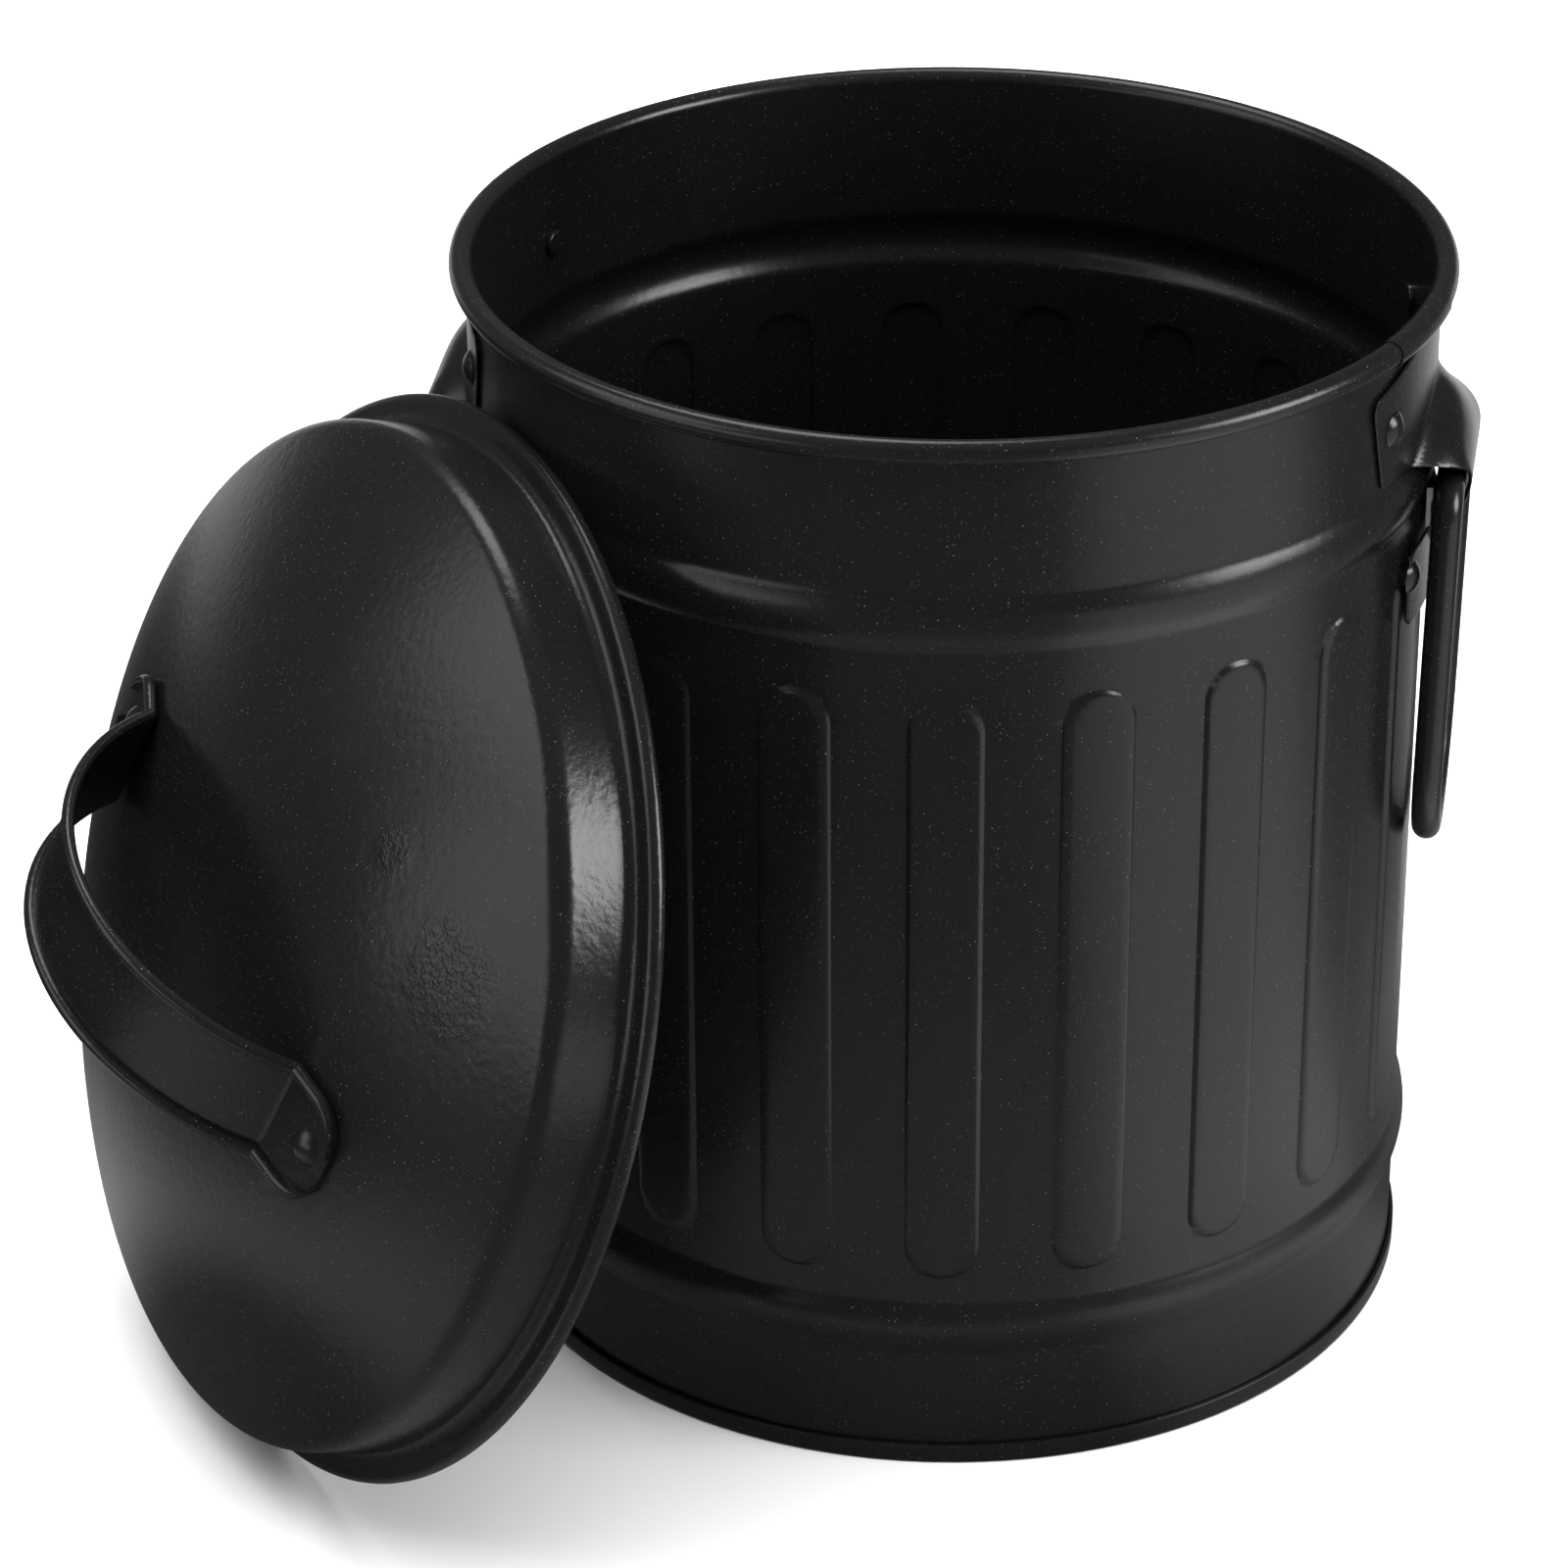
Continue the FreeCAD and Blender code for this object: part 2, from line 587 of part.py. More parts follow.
def lid_profile():
    outside, inside = lid_shoulder, lid_shoulder - d["sheet"]
    corner, ball, flare = d["lid_corner"], d["lid_sphere"], d["lid_flare"]
    curl, bore = d["lid_curl"], d["lid_curl"] - d["sheet"]
    middle = lid_radius - curl
    ledge = 2 * curl
    across, slant = outside - corner, ball - corner
    upright = root(slant * slant - across * across)
    corner_height = lid_sphere_centre + upright

    def on_dome(radius):
        return across * radius / slant, lid_sphere_centre + upright * radius / slant

    return [
        (0, d["lid_apex"], ball, -1),
        (*on_dome(ball), corner, -1),
        (outside, corner_height),
        (outside, ledge + flare, flare, 1),
        (outside + flare, ledge),
        (middle, ledge, curl, -1),
        (lid_radius, curl, curl, -1),
        (middle, 0, curl, -1),
        (middle - curl, curl),
        (middle - bore, curl, bore, 1),
        (middle, curl - bore, bore, 1),
        (middle + bore, curl, bore, 1),
        (middle, curl + bore),
        (outside + flare, ledge - d["sheet"], flare + d["sheet"], -1),
        (inside, ledge + flare),
        (inside, corner_height, corner - d["sheet"], 1),
        (*on_dome(ball - d["sheet"]), ball - d["sheet"], 1),
        (0, d["lid_apex"] - d["sheet"]),
    ]


def lid_rivet_frame(side):
    """A frame on the dome under a strap foot, its Z axis square to the dome."""
    tilt = math.degrees(math.asin(d["grip_rivet_reach"].value / d["lid_sphere"].value))
    turn = FreeCAD.Rotation(FreeCAD.Vector(0, 1, 0), side * tilt)
    centre = FreeCAD.Vector(0, 0, lid_sphere_centre.value)
    return FreeCAD.Placement(centre + turn.multVec(FreeCAD.Vector(0, 0, d["lid_sphere"].value)), turn)


def lid_rivet_hole(body, name, side):
    hole = body.newObject("PartDesign::SubtractiveCylinder", name)
    bind(hole, "Radius", d["rivet_shank"] + d["rivet_fit"])
    bind(hole, "Height", 2 * d["lid_curl"] + d["grip_sheet"])
    hole.Placement = lid_rivet_frame(side) * FreeCAD.Placement(
        FreeCAD.Vector(0, 0, -d["lid_curl"].value), FreeCAD.Rotation())


def make_lid_shell():
    body = new_body("lid_shell")
    profile = new_sketch(body, "lid_profile", "XZ_Plane")
    draw(profile, lid_profile())
    spin(body, "PartDesign::Revolution", "lid_turn", profile)
    lid_rivet_hole(body, "lid_hole_a", 1)
    lid_rivet_hole(body, "lid_hole_b", -1)
    place(body, lid_pose())


# Strap handle of the lid: an arch of hemmed strap with a flat riveted foot at each end

def strap_section(body):
    """The strap at the top of its arch: flat underneath, with a hem rolled up along each edge."""
    section = new_sketch(body, "strap_section", "YZ_Plane")
    hem, half = d["grip_hem"], d["grip_half"]
    under = grip_top - d["grip_sheet"] * 0.5
    draw(section, both_sides([
        (half, under, hem, 1),
        (half + hem, under + hem, hem, 1),
        (half, under + 2 * hem, hem, 1),
        (half - hem, under + hem),
        (half - hem, under + d["grip_sheet"]),
    ]))
    return section


def half_strap(body, section, name, side):
    """Half the arch and its foot, on the side +1 or -1, with the foot's end rounded."""
    # The feet lie along the dome's slope at the rivets.
    fall = d["grip_rivet_reach"] / d["lid_sphere"]
    level = root(1 - fall * fall)
    over_dome = d["lid_sphere"] + d["seat_gap"] + d["grip_sheet"] * 0.5
    bend_height = lid_sphere_centre + (over_dome - d["grip_span"] * fall) / level
    rise = grip_top - bend_height
    arch = (d["grip_span"] * d["grip_span"] + rise * rise) / (2 * rise)
    run = d["grip_foot"] + d["grip_hem"]
    path = new_sketch(body, name + "_path", "XZ_Plane")
    draw(path, [
        (0, grip_top, arch, -side),
        (side * d["grip_span"], bend_height),
        (side * (d["grip_span"] + run * level), bend_height - run * fall),
    ], closed=False)
    pipe = body.newObject("PartDesign::AdditivePipe", name)
    pipe.Profile = section
    pipe.Spine = (path, [])
    pipe.Transition = "Right corner"
    trim = new_sketch(body, name + "_trim", "XY_Plane")
    start, end = side * d["grip_span"], side * (d["grip_span"] + d["grip_foot"] * level)
    edge = d["grip_half"] + d["grip_hem"] + d["seat_gap"]
    corner = d["grip_foot_round"]
    beyond = end + side * edge
    draw(trim, [
        (start, edge),
        (end - side * corner, edge, corner, -side),
        (end, edge - corner),
        (end, corner - edge, corner, -side),
        (end - side * corner, -edge),
        (start, -edge),
        (start, -2 * edge),
        (beyond, -2 * edge),
        (beyond, 2 * edge),
        (start, 2 * edge),
    ])
    cut = body.newObject("PartDesign::Pocket", name + "_end")
    cut.Profile = trim
    cut.Type = "Length"
    cut.Reversed = True
    bind(cut, "Length", grip_top + edge)


def make_lid_strap():
    body = new_body("lid_strap")
    section = strap_section(body)
    for name, side in (("strap_a", 1), ("strap_b", -1)):
        half_strap(body, section, name, side)
        lid_rivet_hole(body, name + "_hole", side)
    place(body, lid_pose())


# Rivets: domed head, shank and clinched end, with Z = 0 under the head

def rivet(grip):
    head, dome = d["rivet_head"].value, d["rivet_dome"].value
    shank, tail = d["rivet_shank"].value, d["rivet_tail"].value
    end = -grip - d["rivet_tail_height"].value
    ball = (head * head + dome * dome) / (2 * dome)
    slope = math.asin(head / ball) / 2
    crown = FreeCAD.Vector(ball * math.sin(slope), 0, dome - ball + ball * math.cos(slope))
    corners = [(head, 0), (shank, 0), (shank, -grip), (tail, -grip), (tail, end), (0, end), (0, dome)]
    points = [FreeCAD.Vector(x, 0, z) for x, z in corners]
    arc = Part.Arc(points[-1], crown, points[0]).toShape()
    outline = Part.Wire([arc] + Part.makePolygon(points).Edges)
    return Part.Face(outline).revolve(FreeCAD.Vector(), FreeCAD.Vector(0, 0, 1), 360)


def rivet_group(label, placed, placement):
    """Separate rivets, each given as a grip length and a frame, in one object."""
    solids = []
    for grip, frame in placed:
        solid = rivet(grip)
        solid.Placement = frame
        solids.append(solid)
    group = doc.addObject("Part::Feature", label)
    group.Label = label
    group.Shape = Part.makeCompound(solids)
    group.Placement = placement


def make_bracket_rivets(label, bearing):
    inside = wall_inside.value - d["seat_gap"].value
    placed = []
    for angle, height, plate in (
        (ear_rivet_angle, ear_rivet_height, d["wall_radius"] + d["seat_gap"]),
        (tab_rivet_angle, tab_rivet_height, tab_inside),
    ):
        seat = (plate + d["sheet"] + d["seat_gap"]).value
        for sign in (1, -1):
            out = FreeCAD.Placement(FreeCAD.Vector(seat, 0, height.value),
                                    FreeCAD.Rotation(FreeCAD.Vector(0, 1, 0), 90))
            placed.append((seat - inside, about_can(sign * angle.value) * out))
    rivet_group(label, placed, about_can(bearing))


def make_strap_rivets():
    lift = 2 * d["seat_gap"].value + d["grip_sheet"].value
    grip = lift + d["sheet"].value + d["seat_gap"].value
    raised = FreeCAD.Placement(FreeCAD.Vector(0, 0, lift), FreeCAD.Rotation())
    placed = [(grip, lid_rivet_frame(side) * raised) for side in (1, -1)]
    rivet_group("lid_strap_rivets", placed, lid_pose())


# Places in the assembly

def lid_pose():
    """The lid stands on its rim, leans on the wall and turns its dome outwards."""
    lean, bearing = math.radians(d["lid_lean"].value), math.radians(d["lid_bearing"].value)
    curl = d["lid_curl"].value
    hoop = lid_radius.value - curl
    away = FreeCAD.Vector(math.cos(bearing), math.sin(bearing), 0)
    up = FreeCAD.Vector(0, 0, 1)
    facing = away * math.cos(lean) + up * math.sin(lean)
    level = up.cross(away)
    climb = facing.cross(level)
    height = hoop * math.cos(lean) + curl
    # A lid that stands higher than the wall leans on the rim instead.
    under_rim = 2 * height < rim_underside.value
    support = d["wall_radius"].value if under_rim else rim_radius.value
    distance = support + d["lid_gap"].value + curl + hoop * math.sin(lean)
    turn = math.radians(d["grip_turn"].value)
    along = level * math.cos(turn) + climb * math.sin(turn)
    rotation = FreeCAD.Rotation(along, facing.cross(along), facing, "ZXY")
    return FreeCAD.Placement(away * distance + up * height - facing * curl, rotation)


make_can_wall()
make_base_pan()
make_lid_shell()
make_lid_strap()
make_strap_rivets()
for side_name, side_bearing in HANDLES:
    make_bracket(f"{side_name}_bracket", side_bearing)
    make_bracket_rivets(f"{side_name}_bracket_rivets", side_bearing)
    make_ring(f"{side_name}_ring", side_bearing)
doc.recompute()

# Every object must have been built before anything is written.
for item in doc.Objects:
    if "Invalid" in item.State or "Error" in item.State:
        raise RuntimeError(f"{item.Name} was not built: {item.State}")
pieces = [item for item in doc.Objects
          if item.TypeId == "PartDesign::Body" or item.TypeId == "Part::Feature"]
os.makedirs("parts", exist_ok=True)
for piece in pieces:
    if piece.Shape.isNull() or not piece.Shape.isValid():
        raise RuntimeError(f"{piece.Label} has no valid shape")
    piece.Shape.exportStep(f"parts/{piece.Label}.step")
    print(piece.Label, len(piece.Shape.Solids), round(piece.Shape.Volume, 1))
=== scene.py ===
import bmesh
import bpy
import math
from mathutils import Matrix, Vector


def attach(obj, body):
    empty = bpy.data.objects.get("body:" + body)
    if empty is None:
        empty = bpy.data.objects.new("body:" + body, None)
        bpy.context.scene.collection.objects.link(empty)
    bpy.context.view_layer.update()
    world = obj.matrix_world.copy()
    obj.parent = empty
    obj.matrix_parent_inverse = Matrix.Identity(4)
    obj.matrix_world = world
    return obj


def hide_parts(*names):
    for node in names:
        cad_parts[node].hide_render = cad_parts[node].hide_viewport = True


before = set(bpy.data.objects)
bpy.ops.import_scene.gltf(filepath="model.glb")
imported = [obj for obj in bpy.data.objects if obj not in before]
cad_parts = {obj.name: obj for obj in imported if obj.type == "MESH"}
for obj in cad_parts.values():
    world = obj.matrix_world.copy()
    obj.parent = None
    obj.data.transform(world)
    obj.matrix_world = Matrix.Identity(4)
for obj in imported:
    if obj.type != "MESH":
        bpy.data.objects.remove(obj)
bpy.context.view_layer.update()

# A small black trash can of pressed sheet, with ring handles and a lid that leans on it.
# Shapes are drawn in millimetres and brought to metres when a piece is finished.
MM = 0.001

# Points nearer than this are one point, and edges bent by more degrees than the crease stay sharp.
TOUCHING = 0.001
CREASE = 38

# Can
SHEET = 0.6
SEAT_GAP = 0.05
CAN_HEIGHT = 180.5
WALL_RADIUS = 76.8
WALL_INSIDE = WALL_RADIUS - SHEET
WALL_FOOT = SHEET + SEAT_GAP
RIM_CURL = 1.9
RIM_CENTRE = (WALL_INSIDE + RIM_CURL, CAN_HEIGHT - RIM_CURL)
RIM_LAP = 2.15
RIM_LAP_START, RIM_LAP_SWEEP = -23.2, 16.0
BEAD_HEIGHTS = (25.4, 149.9)
BEAD_RISE, BEAD_HALF, BEAD_BLEND = 1.5, 5.4, 3.6
BASE_RECESS, BASE_LIP, LIP_GAP, LIP_ROUND = 4.0, 3.3, 0.25, 0.2

# Upright pressed panels round the wall, spaced in degrees from the right handle
FLUTE_COUNT, FLUTE_SPACING, FLUTE_START = 20, 17.45, -12.0
FLUTE_RISE, FLUTE_FACE, FLUTE_FOOT = 0.6, 4.9, 5.75
FLUTE_LOW, FLUTE_HIGH, FLUTE_MARGIN = 40.7, 131.8, 0.2

# Handle brackets
PLATE_OUTSIDE, TAB_OUTSIDE = 77.45, 78.2
PLATE_TOP, SHOULDER_HALF = 176.4, 12.0
EAR_TOP, EAR_BOTTOM, EAR_HALF, EAR_FOOT, EAR_ROUND = 171.0, 155.0, 33.5, 30.1, 2.2
EAR_CORNER_IN, EAR_CORNER_UP = 0.3, 0.5
ARCH_RADIUS, NECK_HALF, NECK_FADE, NECK_ROUND = 14.0, 7.6, 1.2, 0.6
TAB_TOP, TAB_BOTTOM, TAB_HALF, TAB_RUN_OUT = 140.2, 127.4, 20.5, 1.0
HOOD_CENTRE, HOOD_HEIGHT, HOOD_RADIUS, HOOD_FLAT, HOOD_ROUND = 68.299, 150.0, 16.0, 11.0, 9.0
EAR_RIVET_ACROSS, EAR_RIVET_HEIGHT = 26.7, 164.4
TAB_RIVET_ACROSS, TAB_RIVET_HEIGHT = 18.3, 135.8
HOOD_STOOP, HOOD_BLEND, TAB_BLEND = 1.2, 3.0, 1.4
BURR_WIDTH, BURR_DEPTH = 0.28, 0.17
BRACKET_GRID, BRACKET_TOUCHING, BRACKET_CREASE = 0.6, 0.02, 60
RIVET_SHANK, RIVET_HEAD, RIVET_DOME = 1.5, 2.9, 1.3
RIVET_TAIL, RIVET_TAIL_HEIGHT, RIVET_TAIL_ROUND = 2.2, 0.9, 0.4

# Ring handles
WIRE, RING_HALF, RING_CORNER, RING_DROP = 2.35, 17.0, 5.0, 64.8
RING_PIVOT, RING_LEAN = (80.98, 149.0), 0.9

# Lid and its strap
LID_SHOULDER, LID_RADIUS, LID_CURL, LID_FLARE = 81.07, 86.1, 1.45, 2.0
LID_CORNER, LID_SPHERE, LID_APEX = 4.2, 171.0, 35.8
LID_LEAN, LID_BEARING, LID_GAP = 17.65, 218.5, 0.1
STRAP_TURN, STRAP_SHEET, STRAP_EDGE, STRAP_HEM = -19.3, 0.8, 8.9, 1.05
STRAP_SPAN, STRAP_TOP, STRAP_FOOT, STRAP_FOOT_ROUND, STRAP_FOLD = 38.3, 56.0, 13.6, 7.0, 2.0
STRAP_RIVET_REACH = 46.4

# Patches of the lid where the coat is pitted: middle and radius, in metres
LID_FLAWS = (((-0.055, -0.121, 0.109), 0.0105), ((-0.066, -0.107, 0.121), 0.005))


# Drawing helpers

class Pen:
    """Draws a chain of edges across and up, in the XZ plane, from a first point."""

    def __init__(self, mesh, across, up):
        self.mesh = mesh
        self.tip = mesh.verts.new((across, 0, up))

    def line(self, across, up, steps=1):
        start, end = self.tip.co.copy(), Vector((across, 0, up))
        for step in range(1, steps + 1):
            self.tip = bmesh.ops.extrude_vert_indiv(self.mesh, verts=[self.tip])["verts"][0]
            self.tip.co = start.lerp(end, step / steps)

    def arc(self, across, up, degrees, steps):
        """Turns about a centre, counter-clockwise where the degrees are positive."""
        made = bmesh.ops.spin(self.mesh, geom=[self.tip], cent=(across, 0, up), axis=(0, -1, 0),
                              angle=math.radians(degrees), steps=steps)
        self.tip = made["geom_last"][0]


class Sweep:
    """Carries a loop of edges along straight runs and bends, and leaves faces behind it."""

    def __init__(self, mesh, edges):
        self.mesh = mesh
        self.edges = edges

    def points(self):
        return list({vert for edge in self.edges for vert in edge.verts})

    def run(self, way, steps=1):
        for _ in range(steps):
            made = bmesh.ops.extrude_edge_only(self.mesh, edges=self.edges)["geom"]
            self.edges = [item for item in made if isinstance(item, bmesh.types.BMEdge)]
            bmesh.ops.translate(self.mesh, vec=Vector(way) / steps, verts=self.points())

    def bend(self, centre, axis, degrees, steps):
        made = bmesh.ops.spin(self.mesh, geom=self.points() + self.edges, cent=centre, axis=axis,
                              angle=math.radians(degrees), steps=steps)["geom_last"]
        self.edges = [item for item in made if isinstance(item, bmesh.types.BMEdge)]

    def cap(self):
        bmesh.ops.contextual_create(self.mesh, geom=self.edges)


def draw_round(mesh, radius, segments):
    """A round section about the Y axis, ready to be swept."""
    bmesh.ops.create_circle(mesh, segments=segments, radius=radius)
    bmesh.ops.rotate(mesh, verts=mesh.verts, cent=(0, 0, 0), matrix=Matrix.Rotation(math.pi / 2, 4, "X"))


def spun(mesh, steps):
    """Turns all that is drawn once about the upright axis and closes the seam and poles."""
    bmesh.ops.spin(mesh, geom=mesh.verts[:] + mesh.edges[:], cent=(0, 0, 0), axis=(0, 0, 1),
                   angle=math.tau, steps=steps, use_merge=True)
    bmesh.ops.remove_doubles(mesh, verts=mesh.verts, dist=TOUCHING)


def look_at(mesh, eye):
    """Turns all faces the way that lets the one nearest to an eye look at it."""
    mesh.normal_update()
    nearest = min(mesh.faces, key=lambda face: (face.calc_center_median() - eye).length)
    if nearest.normal.dot(eye - nearest.calc_center_median()) < 0:
        bmesh.ops.reverse_faces(mesh, faces=mesh.faces)


def thicken(mesh, thickness):
    """Gives a sheet its thickness behind the faces that are seen."""
    mesh.normal_update()
    bmesh.ops.solidify(mesh, geom=mesh.faces[:], thickness=thickness)


def turned(degrees):
    return Matrix.Rotation(math.radians(degrees), 4, "Z")


def eased(share):
    """Runs from 0 to 1 with a soft start and end, and holds beyond them."""
    share = min(max(share, 0), 1)
    return share * share * (3 - 2 * share)


def finish_piece(name, mesh, body, paint, nodes=(), sharp=CREASE):
    """Makes the drawn mesh an object in metres that rides on a body."""
    bmesh.ops.scale(mesh, vec=(MM, MM, MM), verts=mesh.verts)
    data = bpy.data.meshes.new(name)
    mesh.to_mesh(data)
    mesh.free()
    data.materials.append(paint)
    data.shade_smooth()
    data.set_sharp_from_angle(angle=math.radians(sharp))
    piece = bpy.data.objects.new(name, data)
    bpy.context.collection.objects.link(piece)
    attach(piece, body)
    if nodes:
        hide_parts(*nodes)


# Finishes: a satin powder coat with orange peel, settled dust and, on the lid, pitted patches
# A scale counts details per metre. A height is a multiple of the bump's depth, which is in metres.
BLACK = (0.0035, 0.0035, 0.0037, 1.0)
DEEP_BLACK = (0.0032, 0.0032, 0.0034, 1.0)
DUST_GREY = (0.42, 0.41, 0.39, 1.0)
BUMP_DEPTH = 0.00003
PEEL_SCALE = 620.0
GRAIN_SCALE, GRAIN_HEIGHT = 3200.0, 0.12
CLOUD_SCALE, CLOUD_THIN, CLOUD_THICK = 22.0, 0.25, 0.75
HAZE_COVER, SATIN_SMOOTH, SATIN_ROUGH = 0.011, 0.22, 0.3
COARSE_SCALE, COARSE_WIDEST = 1000.0, 0.115
FINE_SCALE, FINE_WIDEST, FINE_SHARE = 1900.0, 0.16, 0.6
LOT_EMPTY, LOT_FULL, GRAIN_CORE = 0.3, 0.8, 0.5
DUST_COVER, DUST_ROUGHNESS, DUST_HEIGHT = 0.3, 0.35, 0.5
FLAW_EDGE_SCALE, FLAW_EDGE_REACH, FLAW_OUTSIDE, FLAW_INSIDE, FLAW_GLOSS = 160.0, 0.9, 1.45, 0.85, 0.06
PIT_SCALE, PIT_LOW, PIT_HIGH, PIT_HEIGHT = 1200.0, 0.44, 0.6, 1.6
RIPPLE_SCALE, RIPPLE_HEIGHT = 260.0, 3.0

# How the nodes of a material are laid out, and the colour sockets of a Mix node
NODE_ACROSS, NODE_DOWN, NODE_ROWS = 190, 60, 5
MIX_FIRST, MIX_SECOND, MIX_RESULT = 6, 7, 2


class Board:
    """Places and links the nodes of one tree, left to right."""

    def __init__(self, tree):
        self.tree = tree
        self.count = 0

    def add(self, kind, inputs=None, **settings):
        node = self.tree.nodes.new(kind)
        node.location = (self.count * NODE_ACROSS, -NODE_DOWN * (self.count % NODE_ROWS))
        self.count += 1
        for name, value in settings.items():
            setattr(node, name, value)
        for socket, value in (inputs or {}).items():
            self.feed(node.inputs[socket], value)
        return node

    def feed(self, socket, value):
        if isinstance(value, bpy.types.NodeSocket):
            self.tree.links.new(value, socket)
        else:
            socket.default_value = value

    def sums(self, operation, first, second):
        return self.add("ShaderNodeMath", {0: first, 1: second}, operation=operation).outputs[0]

    def ramp(self, value, low, high, bottom=0.0, top=1.0):
        """Maps low to high smoothly onto bottom to top."""
        node = self.add("ShaderNodeMapRange", {"Value": value, "From Min": low, "From Max": high,
                                               "To Min": bottom, "To Max": top},
                        interpolation_type="SMOOTHSTEP")
        return node.outputs["Result"]

    def noise(self, place, scale, detail):
        node = self.add("ShaderNodeTexNoise", {"Vector": place, "Scale": scale, "Detail": detail})
        return node.outputs["Fac"]

    def away(self, place, spot):
        """How far a place is from a spot, in metres."""
        node = self.add("ShaderNodeVectorMath", {0: place, 1: spot}, operation="DISTANCE")
        return node.outputs["Value"]

    def mix_colour(self, share, first, second):
        node = self.add("ShaderNodeMix", {"Factor": share}, data_type="RGBA")
        self.feed(node.inputs[MIX_FIRST], first)
        self.feed(node.inputs[MIX_SECOND], second)
        return node.outputs[MIX_RESULT]


def new_group(name, inputs, outputs):
    """An empty node group with its sockets, its board and its two ends."""
    group = bpy.data.node_groups.new(name, "ShaderNodeTree")
    for socket, kind in inputs:
        group.interface.new_socket(socket, in_out="INPUT", socket_type=kind)
    for socket, kind in outputs:
        group.interface.new_socket(socket, in_out="OUTPUT", socket_type=kind)
    board = Board(group)
    return group, board, board.add("NodeGroupInput").outputs, board.add("NodeGroupOutput").inputs


def speck_mask(board, place, scale, widest):
    """Grains of dust: a share of the cells holds one grain each, of its own size."""
    cells = board.add("ShaderNodeTexVoronoi", {"Vector": place, "Scale": scale, "Randomness": 1.0})
    lot = board.add("ShaderNodeSeparateColor", {"Color": cells.outputs["Color"]}).outputs["Red"]
    size = board.ramp(lot, LOT_EMPTY, LOT_FULL, 0.0, widest)
    inner = board.sums("MULTIPLY", size, GRAIN_CORE)
    reach = board.add("ShaderNodeMapRange", {"Value": cells.outputs["Distance"], "From Min": size,
                                             "From Max": inner, "To Min": 0.0, "To Max": 1.0})
    return reach.outputs["Result"]


def powder_coat_group():
    """The coat's colour, roughness and height, alike on the can, the handles and the lid."""
    group, board, given, made = new_group(
        "powder_coat",
        [("Place", "NodeSocketVector"), ("Paint", "NodeSocketColor"), ("Dust", "NodeSocketFloat"),
         ("Peel", "NodeSocketFloat")],
        [("Color", "NodeSocketColor"), ("Roughness", "NodeSocketFloat"), ("Height", "NodeSocketFloat")])
    place = given["Place"]
    peel = board.noise(place, PEEL_SCALE, detail=2.0)
    grain = board.noise(place, GRAIN_SCALE, detail=1.0)
    cloud = board.noise(place, CLOUD_SCALE, detail=4.0)
    coarse = speck_mask(board, place, COARSE_SCALE, COARSE_WIDEST)
    fine = speck_mask(board, place, FINE_SCALE, FINE_WIDEST)
    grains = board.sums("MAXIMUM", coarse, board.sums("MULTIPLY", fine, FINE_SHARE))
    dust = board.sums("MULTIPLY", grains, given["Dust"])
    haze = board.sums("MULTIPLY", cloud, HAZE_COVER)
    film = board.sums("ADD", board.sums("MULTIPLY", dust, DUST_COVER), haze)
    board.feed(made["Color"], board.mix_colour(film, given["Paint"], DUST_GREY))
    satin = board.ramp(cloud, CLOUD_THIN, CLOUD_THICK, SATIN_SMOOTH, SATIN_ROUGH)
    board.feed(made["Roughness"], board.sums("ADD", satin, board.sums("MULTIPLY", dust, DUST_ROUGHNESS)))
    waves = board.sums("MULTIPLY", peel, given["Peel"])
    body = board.sums("ADD", waves, board.sums("MULTIPLY", grain, GRAIN_HEIGHT))
    board.feed(made["Height"], board.sums("ADD", body, board.sums("MULTIPLY", dust, DUST_HEIGHT)))
    return group


def new_paint(name, colour, dust, peel, spoilt=()):
    """A coated surface; spoilt gives the middle and radius of each pitted patch, in metres."""
    material = bpy.data.materials.new(name)
    material.use_nodes = True
    board = Board(material.node_tree)
    shader = material.node_tree.nodes["Principled BSDF"]
    place = board.add("ShaderNodeTexCoord").outputs["Object"]
    coat = board.add("ShaderNodeGroup", node_tree=powder_coat)
    for socket, value in (("Place", place), ("Paint", colour), ("Dust", dust), ("Peel", peel)):
        board.feed(coat.inputs[socket], value)
    height = coat.outputs["Height"]
    roughness = coat.outputs["Roughness"]
    for middle, radius in spoilt:
        edge = board.noise(place, FLAW_EDGE_SCALE, detail=3.0)
        ragged = board.sums("ADD", board.away(place, middle),
                            board.sums("MULTIPLY", edge, radius * FLAW_EDGE_REACH))
        patch = board.ramp(ragged, radius * FLAW_OUTSIDE, radius * FLAW_INSIDE)
        pits = board.ramp(board.noise(place, PIT_SCALE, detail=2.0), PIT_LOW, PIT_HIGH)
        ripples = board.noise(place, RIPPLE_SCALE, detail=3.0)
        skin = board.sums("ADD", board.sums("MULTIPLY", pits, PIT_HEIGHT),
                          board.sums("MULTIPLY", ripples, RIPPLE_HEIGHT))
        height = board.sums("ADD", height, board.sums("MULTIPLY", patch, skin))
        roughness = board.sums("SUBTRACT", roughness, board.sums("MULTIPLY", patch, FLAW_GLOSS))
    bump = board.add("ShaderNodeBump", {"Strength": 1.0, "Distance": BUMP_DEPTH, "Height": height})
    board.feed(shader.inputs["Base Color"], coat.outputs["Color"])
    board.feed(shader.inputs["Roughness"], roughness)
    board.feed(shader.inputs["Normal"], bump.outputs["Normal"])
    return material


powder_coat = powder_coat_group()
can_paint = new_paint("can_satin_black", BLACK, dust=1.0, peel=1.0)
handle_paint = new_paint("handle_satin_black", DEEP_BLACK, dust=0.8, peel=1.2)
lid_paint = new_paint("lid_satin_black", BLACK, dust=0.9, peel=2.2, spoilt=LID_FLAWS)


# Can wall: one sheet with two hoop beads, pressed panels and a rolled rim

